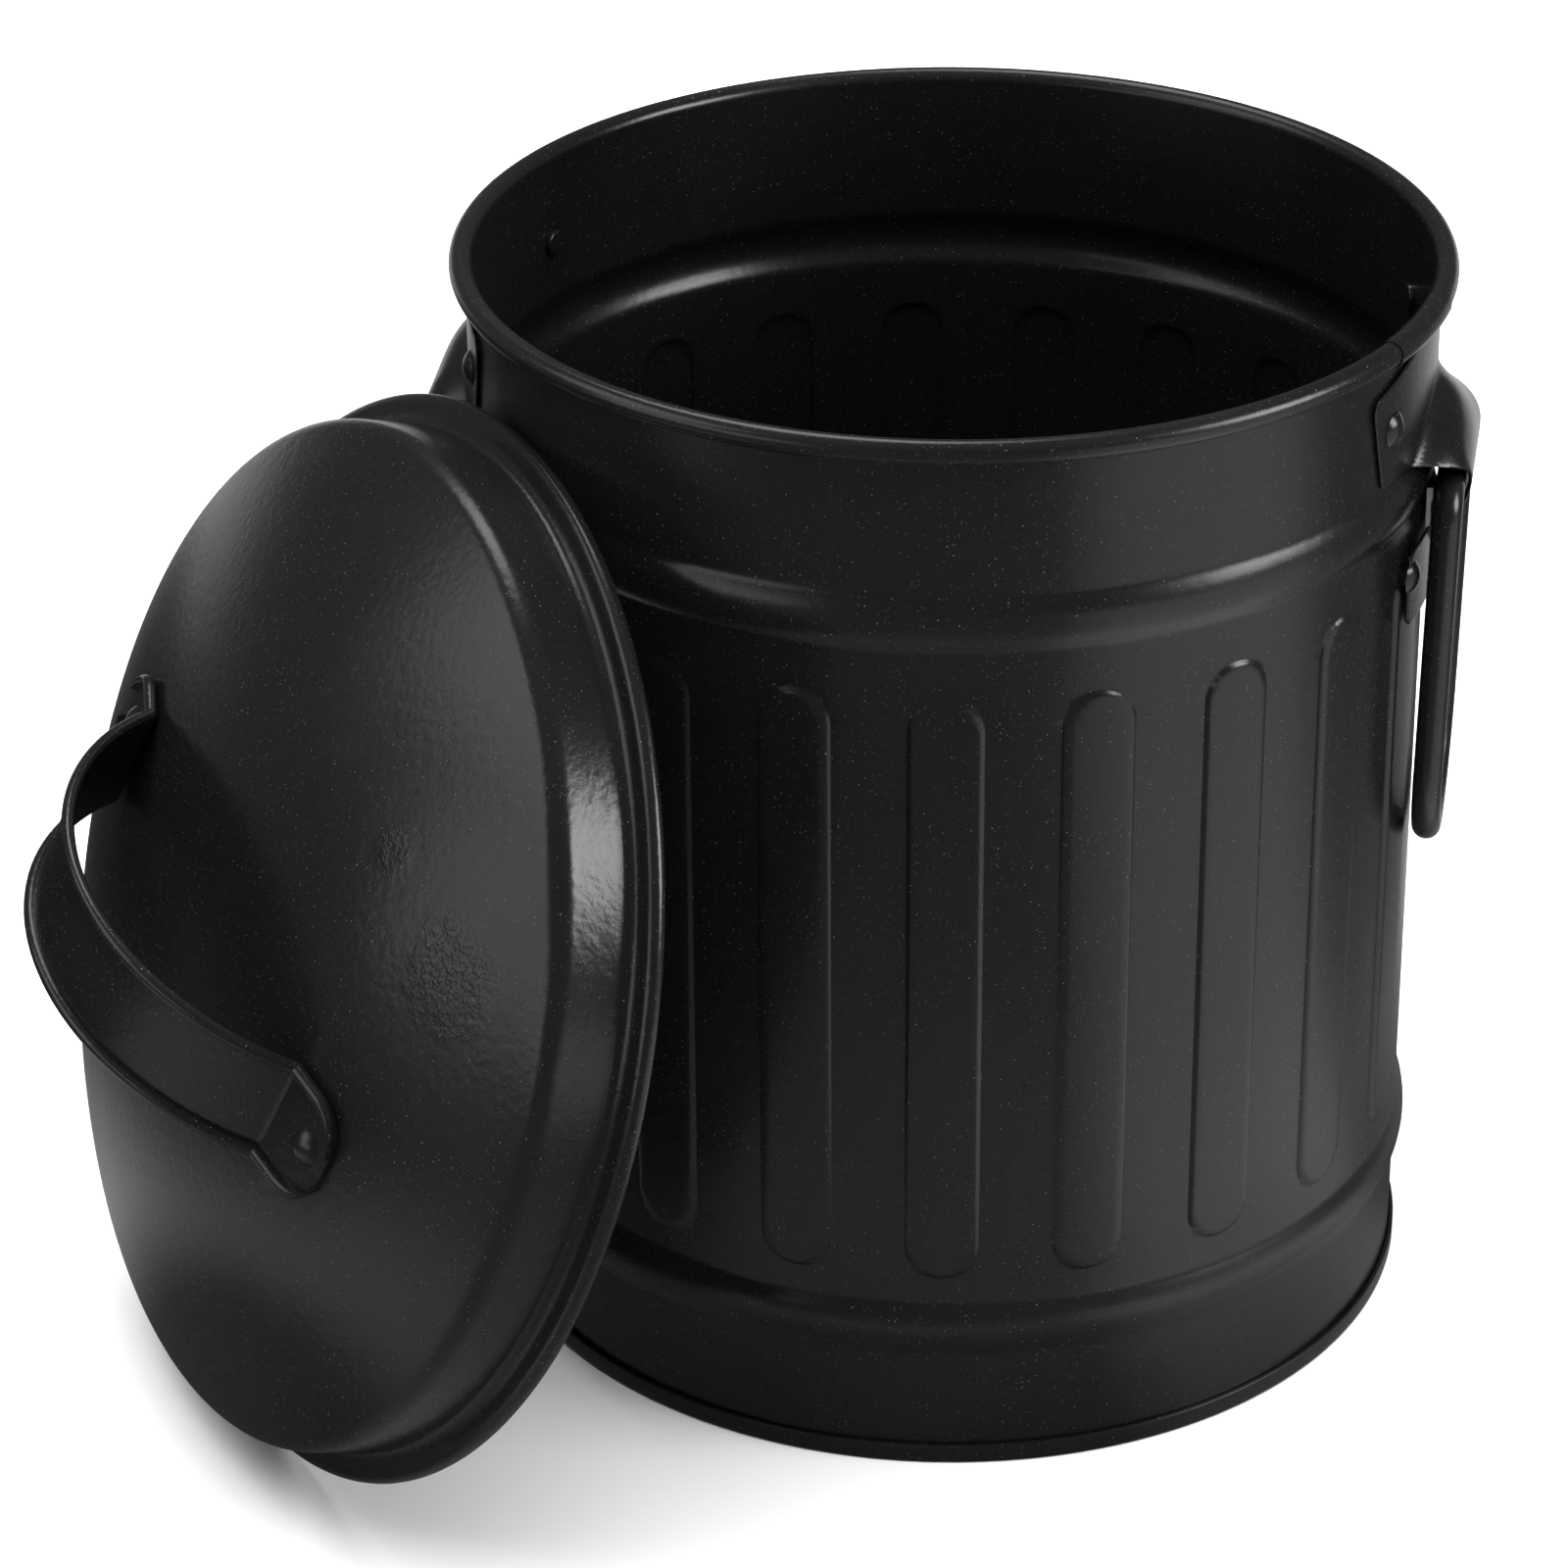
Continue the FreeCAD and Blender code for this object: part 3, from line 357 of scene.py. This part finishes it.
def draw_bead(pen, height):
    """Follows the inner skin of a hoop bead upwards."""
    reach = (BEAD_HALF ** 2 + BEAD_RISE ** 2) / (2 * BEAD_RISE)
    swing = math.degrees(math.asin(BEAD_HALF / reach))
    crown = reach - BEAD_BLEND
    pen.line(WALL_INSIDE, height - BEAD_HALF)
    pen.arc(WALL_INSIDE + BEAD_BLEND, height - BEAD_HALF, -swing, steps=3)
    pen.arc(WALL_INSIDE + BEAD_RISE - crown, height, 2 * swing, steps=7)
    pen.arc(WALL_INSIDE + BEAD_BLEND, height + BEAD_HALF, -swing, steps=3)


def draw_wall(mesh):
    """The inner skin from the foot up, with fine rows where the panels end."""
    pen = Pen(mesh, WALL_INSIDE, WALL_FOOT)
    draw_bead(pen, BEAD_HEIGHTS[0])
    for end, way in ((FLUTE_LOW, -1), (FLUTE_HIGH, 1)):
        first, last = sorted((end, end + way * (FLUTE_FOOT + FLUTE_MARGIN)))
        pen.line(WALL_INSIDE, first)
        pen.line(WALL_INSIDE, last, steps=21)
    draw_bead(pen, BEAD_HEIGHTS[1])
    pen.line(WALL_INSIDE, RIM_CENTRE[1])
    pen.arc(*RIM_CENTRE, -270, steps=20)


def press_flutes(mesh):
    """Pushes the round-ended panels out of the plain wall."""
    for vert in mesh.verts:
        if FLUTE_LOW - FLUTE_FOOT < vert.co.z < FLUTE_HIGH + FLUTE_FOOT:
            bearing = math.degrees(math.atan2(vert.co.y, vert.co.x))
            passed = (FLUTE_START - bearing) % 360 / FLUTE_SPACING
            number = round(passed) if passed < FLUTE_COUNT - 0.5 else FLUTE_COUNT - 1
            off = min(abs(passed - number), abs(passed - 360 / FLUTE_SPACING))
            across = math.radians(off * FLUTE_SPACING) * WALL_RADIUS
            beyond = max(FLUTE_LOW - vert.co.z, vert.co.z - FLUTE_HIGH, 0)
            share = (math.hypot(across, beyond) - FLUTE_FACE) / (FLUTE_FOOT - FLUTE_FACE)
            rise = FLUTE_RISE * (1 - eased(share))
            vert.co.xy *= 1 + rise / vert.co.xy.length


def make_can_wall():
    """Sweeps the wall's section round, in finer steps over the sides of each panel."""
    mesh = bmesh.new()
    draw_wall(mesh)
    face = math.degrees(FLUTE_FACE / WALL_RADIUS)
    slope = math.degrees(FLUTE_FOOT / WALL_RADIUS) - face
    plain = FLUTE_SPACING - 2 * (face + slope)
    last_plain = 360 - FLUTE_COUNT * FLUTE_SPACING + plain
    bmesh.ops.rotate(mesh, verts=mesh.verts, cent=(0, 0, 0), matrix=turned(FLUTE_START + face + slope))
    sweep = Sweep(mesh, mesh.edges[:])
    for number in range(FLUTE_COUNT):
        gap = (plain, 4) if number < FLUTE_COUNT - 1 else (last_plain, 10)
        for degrees, steps in ((slope, 5), (2 * face, 10), (slope, 5), gap):
            sweep.bend((0, 0, 0), (0, 0, 1), -degrees, steps)
    bmesh.ops.remove_doubles(mesh, verts=mesh.verts, dist=TOUCHING)
    press_flutes(mesh)
    look_at(mesh, Vector((0, 0, CAN_HEIGHT / 2)))
    thicken(mesh, SHEET)
    finish_piece("can_wall_skin", mesh, "can", can_paint, ["can_wall"])


def make_rim_lap():
    """The overlap of the rim's ends: a short sleeve, a little fatter than the roll."""
    mesh = bmesh.new()
    draw_round(mesh, RIM_LAP, segments=36)
    bmesh.ops.translate(mesh, verts=mesh.verts, vec=(RIM_CENTRE[0], 0, RIM_CENTRE[1]))
    bmesh.ops.rotate(mesh, verts=mesh.verts, cent=(0, 0, 0), matrix=turned(RIM_LAP_START))
    sweep = Sweep(mesh, mesh.edges[:])
    sweep.cap()
    sweep.bend((0, 0, 0), (0, 0, 1), RIM_LAP_SWEEP, steps=20)
    sweep.cap()
    bmesh.ops.recalc_face_normals(mesh, faces=mesh.faces)
    finish_piece("rim_lap", mesh, "can", can_paint)


def make_base_pan():
    """The disc, from its underside round the crimped channel to its upper side."""
    mesh = bmesh.new()
    leg_outside = WALL_INSIDE - SEAT_GAP
    leg_inside = leg_outside - SHEET
    lip_inside = WALL_RADIUS + LIP_GAP
    lip_outside = lip_inside + SHEET
    pen = Pen(mesh, 0, BASE_RECESS)
    pen.line(leg_inside, BASE_RECESS, steps=3)
    pen.line(leg_inside, SHEET)
    pen.arc(leg_inside + SHEET, SHEET, 90, steps=5)
    pen.line(lip_outside - SHEET, 0)
    pen.arc(lip_outside - SHEET, SHEET, 90, steps=5)
    pen.line(lip_outside, BASE_LIP - LIP_ROUND)
    pen.arc(lip_outside - LIP_ROUND, BASE_LIP - LIP_ROUND, 90, steps=3)
    pen.line(lip_inside, BASE_LIP)
    pen.line(lip_inside, SHEET)
    pen.line(leg_outside, SHEET)
    pen.line(leg_outside, BASE_RECESS)
    pen.arc(leg_outside - SHEET, BASE_RECESS, 90, steps=5)
    pen.line(0, BASE_RECESS + SHEET, steps=3)
    spun(mesh, steps=216)
    bmesh.ops.recalc_face_normals(mesh, faces=mesh.faces)
    finish_piece("base_pan_skin", mesh, "can", can_paint, ["base_pan"])


# Handle brackets: one pressing with ears, hood, neck and lower tab

def draw_bracket(mesh):
    """Half the outline from the bottom up, then mirrored, as a flat face across and up."""
    pen = Pen(mesh, 0, TAB_BOTTOM)
    pen.line(TAB_HALF - EAR_ROUND, TAB_BOTTOM)
    pen.arc(TAB_HALF - EAR_ROUND, TAB_BOTTOM + EAR_ROUND, 90, steps=5)
    pen.line(TAB_HALF, TAB_TOP - EAR_ROUND)
    pen.arc(TAB_HALF - EAR_ROUND, TAB_TOP - EAR_ROUND, 90, steps=5)
    pen.line(NECK_HALF + NECK_ROUND, TAB_TOP)
    pen.arc(NECK_HALF + NECK_ROUND, TAB_TOP + NECK_ROUND, -90, steps=3)
    pen.line(NECK_HALF, EAR_BOTTOM - ARCH_RADIUS)
    pen.arc(NECK_HALF + ARCH_RADIUS, EAR_BOTTOM - ARCH_RADIUS, -90, steps=18)
    pen.line(EAR_FOOT - EAR_ROUND, EAR_BOTTOM)
    lean = math.degrees(math.atan2(EAR_HALF - EAR_FOOT, EAR_TOP - EAR_BOTTOM))
    pen.arc(EAR_FOOT - EAR_ROUND, EAR_BOTTOM + EAR_ROUND, 90 - lean, steps=5)
    fall = math.degrees(math.atan2(PLATE_TOP - EAR_TOP, EAR_HALF - SHOULDER_HALF))
    corner = (EAR_HALF - EAR_ROUND - EAR_CORNER_IN, EAR_TOP - EAR_ROUND + EAR_CORNER_UP)
    start = math.radians(-lean)
    pen.line(corner[0] + EAR_ROUND * math.cos(start), corner[1] + EAR_ROUND * math.sin(start))
    pen.arc(*corner, lean + 90 - fall, steps=6)
    pen.line(SHOULDER_HALF, PLATE_TOP)
    pen.line(0, PLATE_TOP)
    half = mesh.verts[:] + mesh.edges[:]
    bmesh.ops.mirror(mesh, geom=half, axis="X", merge_dist=TOUCHING)
    bmesh.ops.remove_doubles(mesh, verts=mesh.verts, dist=TOUCHING)
    bmesh.ops.contextual_create(mesh, geom=mesh.edges[:])


def grid_cuts(mesh, low, high, spacing, normal):
    """Cuts the flat face into strips, square to one of its two directions."""
    for number in range(1, round((high - low) / spacing)):
        point = Vector(normal) * (low + number * spacing)
        bmesh.ops.bisect_plane(mesh, geom=mesh.verts[:] + mesh.edges[:] + mesh.faces[:],
                               dist=TOUCHING / 2, plane_co=point, plane_no=normal)


def soft_greater(first, second, blend):
    """The greater of two, with a rounded change from one to the other."""
    near = max(blend - abs(first - second), 0) / blend
    return max(first, second) + near * near * blend / 4


def bracket_reach(across, up):
    """How far the pressed sheet stands from the can's axis plane."""
    radius = PLATE_OUTSIDE if up > TAB_TOP + TAB_RUN_OUT else TAB_OUTSIDE
    plate = math.sqrt(radius ** 2 - across ** 2)
    past = min(max(abs(across) - HOOD_FLAT, 0), HOOD_ROUND)
    barrel = HOOD_RADIUS - HOOD_ROUND + math.sqrt(HOOD_ROUND ** 2 - past ** 2)
    stoop = 1 + HOOD_STOOP * (across / HOOD_FLAT) ** 2 if up > HOOD_HEIGHT else 1
    depth = barrel ** 2 - stoop * (up - HOOD_HEIGHT) ** 2
    hood = HOOD_CENTRE + math.sqrt(max(depth, 0))
    if up < TAB_TOP:
        hood += (plate - hood) * eased((abs(across) - NECK_HALF) / NECK_FADE)
    return soft_greater(plate, hood, TAB_BLEND if up < TAB_TOP else HOOD_BLEND)


def make_bracket(side, bearing):
    mesh = bmesh.new()
    draw_bracket(mesh)
    bmesh.ops.inset_region(mesh, faces=mesh.faces[:], thickness=BURR_WIDTH, use_boundary=True)
    grid_cuts(mesh, -EAR_HALF, EAR_HALF, BRACKET_GRID, (1, 0, 0))
    grid_cuts(mesh, TAB_BOTTOM, PLATE_TOP, BRACKET_GRID, (0, 0, 1))
    bmesh.ops.remove_doubles(mesh, verts=mesh.verts, dist=BRACKET_TOUCHING)
    for vert in mesh.verts:
        across, up = vert.co.x, vert.co.z
        worn = BURR_DEPTH if vert.is_boundary else 0
        vert.co = (bracket_reach(across, up) - worn, across, up)
    look_at(mesh, Vector((2 * PLATE_OUTSIDE, 0, HOOD_HEIGHT)))
    thicken(mesh, SHEET)
    bmesh.ops.rotate(mesh, verts=mesh.verts, cent=(0, 0, 0), matrix=turned(bearing))
    finish_piece(f"{side}_bracket_skin", mesh, "can", handle_paint, [f"{side}_bracket"],
                 sharp=BRACKET_CREASE)


# Rivets: domed head, shank and clinched end, with zero height under the head

def add_rivet(mesh, grip, place):
    single = bmesh.new()
    ball = (RIVET_HEAD ** 2 + RIVET_DOME ** 2) / (2 * RIVET_DOME)
    swing = math.degrees(math.asin(RIVET_HEAD / ball))
    end = -grip - RIVET_TAIL_HEIGHT
    pen = Pen(single, 0, RIVET_DOME)
    pen.arc(0, RIVET_DOME - ball, -swing, steps=9)
    pen.line(RIVET_SHANK, 0)
    pen.line(RIVET_SHANK, -grip)
    pen.line(RIVET_TAIL, -grip)
    pen.line(RIVET_TAIL, end + RIVET_TAIL_ROUND)
    pen.arc(RIVET_TAIL - RIVET_TAIL_ROUND, end + RIVET_TAIL_ROUND, -90, steps=4)
    pen.line(0, end)
    spun(single, steps=32)
    bmesh.ops.recalc_face_normals(single, faces=single.faces)
    bmesh.ops.transform(single, matrix=place, verts=single.verts)
    shape = bpy.data.meshes.new("rivet")
    single.to_mesh(shape)
    single.free()
    mesh.from_mesh(shape)
    bpy.data.meshes.remove(shape)


def make_bracket_rivets(side, bearing):
    mesh = bmesh.new()
    for across, height, outside in ((EAR_RIVET_ACROSS, EAR_RIVET_HEIGHT, PLATE_OUTSIDE),
                                    (TAB_RIVET_ACROSS, TAB_RIVET_HEIGHT, TAB_OUTSIDE)):
        seat = outside + SEAT_GAP
        out = Matrix.Translation((seat, 0, height)) @ Matrix.Rotation(math.pi / 2, 4, "Y")
        for sign in (1, -1):
            angle = sign * math.degrees(math.asin(across / WALL_RADIUS))
            add_rivet(mesh, seat - WALL_INSIDE + SEAT_GAP, turned(bearing + angle) @ out)
    finish_piece(f"{side}_rivet_heads", mesh, "can", handle_paint, [f"{side}_bracket_rivets"])


# Ring handles: wire bent to a flat-topped loop

def make_ring(side, bearing):
    """The wire's round section, swept from the middle of the top bar once round the loop."""
    mesh = bmesh.new()
    draw_round(mesh, WIRE, segments=24)
    bar = RING_HALF - RING_CORNER
    leg = RING_DROP - RING_HALF - RING_CORNER
    sweep = Sweep(mesh, mesh.edges[:])
    sweep.run((0, -bar, 0))
    sweep.bend((0, -bar, -RING_CORNER), (1, 0, 0), 90, steps=10)
    sweep.run((0, 0, -leg), steps=6)
    sweep.bend((0, 0, RING_HALF - RING_DROP), (1, 0, 0), 180, steps=40)
    sweep.run((0, 0, leg), steps=6)
    sweep.bend((0, bar, -RING_CORNER), (1, 0, 0), 90, steps=10)
    sweep.run((0, -bar, 0))
    bmesh.ops.remove_doubles(mesh, verts=mesh.verts, dist=10 * TOUCHING)
    bmesh.ops.recalc_face_normals(mesh, faces=mesh.faces)
    pivot = Matrix.Translation((RING_PIVOT[0], 0, RING_PIVOT[1]))
    lean = Matrix.Rotation(math.radians(RING_LEAN), 4, "Y")
    bmesh.ops.transform(mesh, matrix=turned(bearing) @ pivot @ lean, verts=mesh.verts)
    finish_piece(f"{side}_ring_wire", mesh, f"{side}_ring", handle_paint, [f"{side}_ring"])


# Lid: drawn with its rim plane level, then stood against the can

def lid_place():
    """The lid stands on its rim, leans on the wall and turns its dome outwards."""
    lean, bearing, turn = (math.radians(angle) for angle in (LID_LEAN, LID_BEARING, STRAP_TURN))
    away, up = Vector((math.cos(bearing), math.sin(bearing), 0)), Vector((0, 0, 1))
    facing = away * math.cos(lean) + up * math.sin(lean)
    level = up.cross(away)
    along = level * math.cos(turn) + facing.cross(level) * math.sin(turn)
    hoop = LID_RADIUS - LID_CURL
    distance = WALL_RADIUS + LID_GAP + LID_CURL + hoop * math.sin(lean)
    height = hoop * math.cos(lean) + LID_CURL
    middle = away * distance + up * height - facing * LID_CURL
    axes = Matrix((along, facing.cross(along), facing)).transposed()
    return Matrix.Translation(middle) @ axes.to_4x4()


def make_lid_shell():
    """Drawn from the top of the dome over corner, shoulder and flare to the rolled rim, then spun."""
    mesh = bmesh.new()
    ball_height = LID_APEX - LID_SPHERE
    across, slant = LID_SHOULDER - LID_CORNER, LID_SPHERE - LID_CORNER
    corner_height = ball_height + math.sqrt(slant ** 2 - across ** 2)
    swing = math.degrees(math.asin(across / slant))
    rim = LID_RADIUS - LID_CURL
    pen = Pen(mesh, 0, LID_APEX)
    pen.arc(0, ball_height, -swing, steps=36)
    pen.arc(across, corner_height, swing - 90, steps=9)
    pen.line(LID_SHOULDER, 2 * LID_CURL + LID_FLARE)
    pen.arc(LID_SHOULDER + LID_FLARE, 2 * LID_CURL + LID_FLARE, 90, steps=7)
    pen.line(rim, 2 * LID_CURL)
    pen.arc(rim, LID_CURL, -270, steps=18)
    spun(mesh, steps=288)
    look_at(mesh, Vector((0, 0, 2 * LID_SPHERE)))
    thicken(mesh, SHEET)
    bmesh.ops.transform(mesh, matrix=lid_place(), verts=mesh.verts)
    finish_piece("lid_shell_skin", mesh, "lid", lid_paint, ["lid_shell"])


def strap_section(mesh):
    """The strap's section at the top of its arch: flat, with a hem rolled up along each edge."""
    under = STRAP_TOP - STRAP_SHEET / 2
    pen = Pen(mesh, STRAP_EDGE, under)
    pen.arc(STRAP_EDGE, under + STRAP_HEM, 270, steps=12)
    pen.line(STRAP_EDGE - STRAP_HEM, under + STRAP_SHEET)
    pen.line(STRAP_HEM - STRAP_EDGE, under + STRAP_SHEET, steps=4)
    pen.line(STRAP_HEM - STRAP_EDGE, under + STRAP_HEM)
    pen.arc(-STRAP_EDGE, under + STRAP_HEM, 270, steps=12)
    pen.line(STRAP_EDGE, under, steps=5)
    bmesh.ops.remove_doubles(mesh, verts=mesh.verts, dist=TOUCHING)
    bmesh.ops.rotate(mesh, verts=mesh.verts, cent=(0, 0, 0), matrix=turned(90))
    return mesh.edges[:]


def make_lid_strap():
    """Swept from the top of the arch down to each foot, which lies flat on the dome."""
    mesh = bmesh.new()
    section = strap_section(mesh)
    tilt = math.asin(STRAP_RIVET_REACH / LID_SPHERE)
    over_dome = LID_SPHERE + SEAT_GAP + STRAP_SHEET / 2
    bend_height = LID_APEX - LID_SPHERE + (over_dome - STRAP_SPAN * math.sin(tilt)) / math.cos(tilt)
    rise = STRAP_TOP - bend_height
    arch = (STRAP_SPAN ** 2 + rise ** 2) / (2 * rise)
    swing = math.asin(STRAP_SPAN / arch)
    fold = swing - tilt
    early = STRAP_FOLD * math.tan(fold / 2)
    swing -= early / arch
    centre = STRAP_TOP - arch
    foot = STRAP_FOOT - early
    for side in (1, -1):
        sweep = Sweep(mesh, section)
        sweep.bend((0, 0, centre), (0, 1, 0), side * math.degrees(swing), steps=40)
        crease = arch + STRAP_FOLD
        pivot = (side * crease * math.sin(swing), 0, centre + crease * math.cos(swing))
        sweep.bend(pivot, (0, 1, 0), -side * math.degrees(fold), steps=8)
        way = Vector((side * math.cos(tilt), 0, -math.sin(tilt)))
        sweep.run(way * (foot - STRAP_FOOT_ROUND), steps=4)
        sweep.run(way * STRAP_FOOT_ROUND, steps=16)
        sweep.cap()
        # The foot's end is rounded, and its hems run in along the curve.
        round_start = STRAP_FOOT - STRAP_FOOT_ROUND
        edge = STRAP_EDGE + STRAP_HEM
        for vert in mesh.verts:
            past = (vert.co - Vector((side * STRAP_SPAN, 0, bend_height))).dot(way) - round_start
            if vert.co.x * side > STRAP_SPAN and past > 0:
                drop = min(past, STRAP_FOOT_ROUND)
                half = edge - STRAP_FOOT_ROUND + math.sqrt(STRAP_FOOT_ROUND ** 2 - drop ** 2)
                vert.co.y *= half / edge
    bmesh.ops.recalc_face_normals(mesh, faces=mesh.faces)
    bmesh.ops.transform(mesh, matrix=lid_place(), verts=mesh.verts)
    finish_piece("lid_strap_skin", mesh, "lid", lid_paint, ["lid_strap"])


def make_strap_rivets():
    mesh = bmesh.new()
    lift = 2 * SEAT_GAP + STRAP_SHEET
    tilt = math.asin(STRAP_RIVET_REACH / LID_SPHERE)
    for side in (1, -1):
        out = (Matrix.Translation((0, 0, LID_APEX - LID_SPHERE)) @ Matrix.Rotation(side * tilt, 4, "Y")
               @ Matrix.Translation((0, 0, LID_SPHERE + lift)))
        add_rivet(mesh, lift + SHEET + SEAT_GAP, lid_place() @ out)
    finish_piece("strap_rivet_heads", mesh, "lid", lid_paint, ["lid_strap_rivets"])


make_can_wall()
make_rim_lap()
make_base_pan()
for handle_side, handle_bearing in (("right", 0), ("left", 180)):
    make_bracket(handle_side, handle_bearing)
    make_bracket_rivets(handle_side, handle_bearing)
    make_ring(handle_side, handle_bearing)
make_lid_shell()
make_lid_strap()
make_strap_rivets()


# Floor, light and camera, in metres and degrees
FLOOR_SIZE, BOUNCE_LIFT = 12, 0.0002
FLOOR_GREY, FLOOR_WHITE = (0.86, 0.86, 0.86, 1), (0.9, 0.9, 0.9, 1)
FLOOR_SCALE, FLOOR_ROUGHNESS = 3.0, 0.7
WORLD_GREY = (0.08, 0.08, 0.08, 1)
CAMERA_PLACE = (0.1112, -0.7492, 0.4869)
CAMERA_TURN, CAMERA_PITCH, CAMERA_ROLL = 10.5, 63.64, -0.3953
LENS, SENSOR, LENS_SHIFT = 117.8, 36, -0.1002


def plain_stage(name, size, place):
    """A flat square that belongs to the stage."""
    data = bpy.data.meshes.new(name)
    mesh = bmesh.new()
    bmesh.ops.create_grid(mesh, x_segments=4, y_segments=4, size=size / 2)
    mesh.to_mesh(data)
    mesh.free()
    stage = bpy.data.objects.new(name, data)
    stage.location = place
    bpy.context.collection.objects.link(stage)
    return stage


def make_floor():
    """A pale floor that is not seen in reflections."""
    floor = plain_stage("floor", FLOOR_SIZE, (0, 0, 0))
    pale = bpy.data.materials.new("pale_floor")
    pale.use_nodes = True
    board = Board(pale.node_tree)
    place = board.add("ShaderNodeTexCoord").outputs["Object"]
    tone = board.mix_colour(board.noise(place, FLOOR_SCALE, detail=4.0), FLOOR_GREY, FLOOR_WHITE)
    shader = pale.node_tree.nodes["Principled BSDF"]
    board.feed(shader.inputs["Base Color"], tone)
    shader.inputs["Roughness"].default_value = FLOOR_ROUGHNESS
    floor.data.materials.append(pale)
    floor.visible_glossy = False


def make_floor_bounce():
    """A glowing sheet over the floor that is seen only in reflections: a painted reflection of the lit
    floor, brighter on some sides of the can, with painted shadows of the can and the lid.
    """
    bounce = plain_stage("floor_bounce", FLOOR_SIZE, (0, 0, BOUNCE_LIFT))
    glow = bpy.data.materials.new("floor_bounce")
    glow.use_nodes = True
    glow.node_tree.nodes.clear()
    board = Board(glow.node_tree)
    place = board.add("ShaderNodeTexCoord").outputs["Object"]
    outward = board.add("ShaderNodeVectorMath", {0: place}, operation="NORMALIZE").outputs["Vector"]

    def toward(bearing):
        """One along a bearing from the can, falling to minus one behind it."""
        way = (math.cos(math.radians(bearing)), math.sin(math.radians(bearing)), 0)
        node = board.add("ShaderNodeVectorMath", {0: outward, 1: way}, operation="DOT_PRODUCT")
        return node.outputs["Value"]

    # Strengths over distances from a spot, or over how well a place lies toward a bearing
    from_can = board.away(place, (0, 0, 0))
    front = board.ramp(from_can, low=0.12, high=0.42, bottom=0.19, top=0.12)
    near_can = board.ramp(from_can, low=0.14, high=0.22, bottom=0.1, top=0.0)
    right = board.ramp(toward(335), low=0.8, high=0.975, bottom=0.0, top=0.72)
    back = board.ramp(toward(98), low=0.5, high=0.94, bottom=0.0, top=0.8)
    by_lid = board.ramp(board.away(place, (-0.26, -0.13, 0)), low=0.1, high=0.2, bottom=0.34, top=0.0)
    round_can = board.sums("ADD", front, near_can)
    lit = board.sums("ADD", board.sums("ADD", round_can, right), board.sums("ADD", back, by_lid))
    # Painted shade in the glow: darker far to the left, and painted shadows where the can and the lid
    # stand on the floor.
    dark_left = board.ramp(board.away(place, (-0.58, 0.06, 0)), low=0.32, high=0.44, bottom=0.12, top=1.0)
    painted_can_shadow = board.ramp(from_can, low=0.08, high=0.14, bottom=0.3, top=1.0)
    painted_lid_shadow = board.ramp(board.away(place, (-0.125, -0.1, 0)), low=0.03, high=0.08, bottom=0.15, top=1.0)
    shade = board.sums("MULTIPLY", dark_left, board.sums("MULTIPLY", painted_can_shadow, painted_lid_shadow))
    strength = board.sums("MULTIPLY", lit, shade)
    light = board.add("ShaderNodeEmission", {"Strength": strength})
    out = board.add("ShaderNodeOutputMaterial")
    board.feed(out.inputs["Surface"], light.outputs[0])
    bounce.data.materials.append(glow)
    for rays in ("visible_camera", "visible_diffuse", "visible_shadow", "visible_transmission"):
        setattr(bounce, rays, False)


def add_softbox(name, place, aim, width, height, watts, glossy=True):
    data = bpy.data.lights.new(name, "AREA")
    data.shape = "RECTANGLE"
    data.size, data.size_y = width, height
    data.energy = watts
    box = bpy.data.objects.new(name, data)
    box.location = place
    box.rotation_euler = (Vector(aim) - Vector(place)).to_track_quat("-Z", "Y").to_euler()
    box.visible_glossy = glossy
    bpy.context.collection.objects.link(box)


def add_camera():
    data = bpy.data.cameras.new("camera")
    data.sensor_width = SENSOR
    data.lens = LENS
    data.shift_y = LENS_SHIFT
    camera = bpy.data.objects.new("camera", data)
    pitch = Matrix.Rotation(math.radians(CAMERA_PITCH), 4, "X")
    aim = turned(CAMERA_TURN) @ pitch @ turned(CAMERA_ROLL)
    camera.matrix_world = Matrix.Translation(CAMERA_PLACE) @ aim
    bpy.context.collection.objects.link(camera)
    bpy.context.scene.camera = camera


make_floor()
make_floor_bounce()
world = bpy.data.worlds.new("studio")
world.use_nodes = True
world.node_tree.nodes["Background"].inputs["Color"].default_value = WORLD_GREY
bpy.context.scene.world = world
add_softbox("overhead", place=(0, 0, 3), aim=(0, 0, 0),
            width=4, height=4, watts=290, glossy=False)
add_softbox("right_softbox", place=(1.15, -0.18, 0.64), aim=(-0.03, -0.12, 0.09),
            width=0.58, height=0.58, watts=9.6)
add_softbox("left_softbox", place=(-0.65, -0.6, 0.3), aim=(-0.06, -0.11, 0.11),
            width=0.75, height=0.28, watts=0.8)
add_softbox("left_panel", place=(-0.94, -0.34, 0.84), aim=(0, 0, 0.15),
            width=0.9, height=0.6, watts=2.5)
add_softbox("top_panel", place=(-0.35, 0.6, 1.5), aim=(0, 0, 0.15),
            width=0.7, height=0.7, watts=6)
bpy.context.scene.view_settings.view_transform = "Standard"
add_camera()
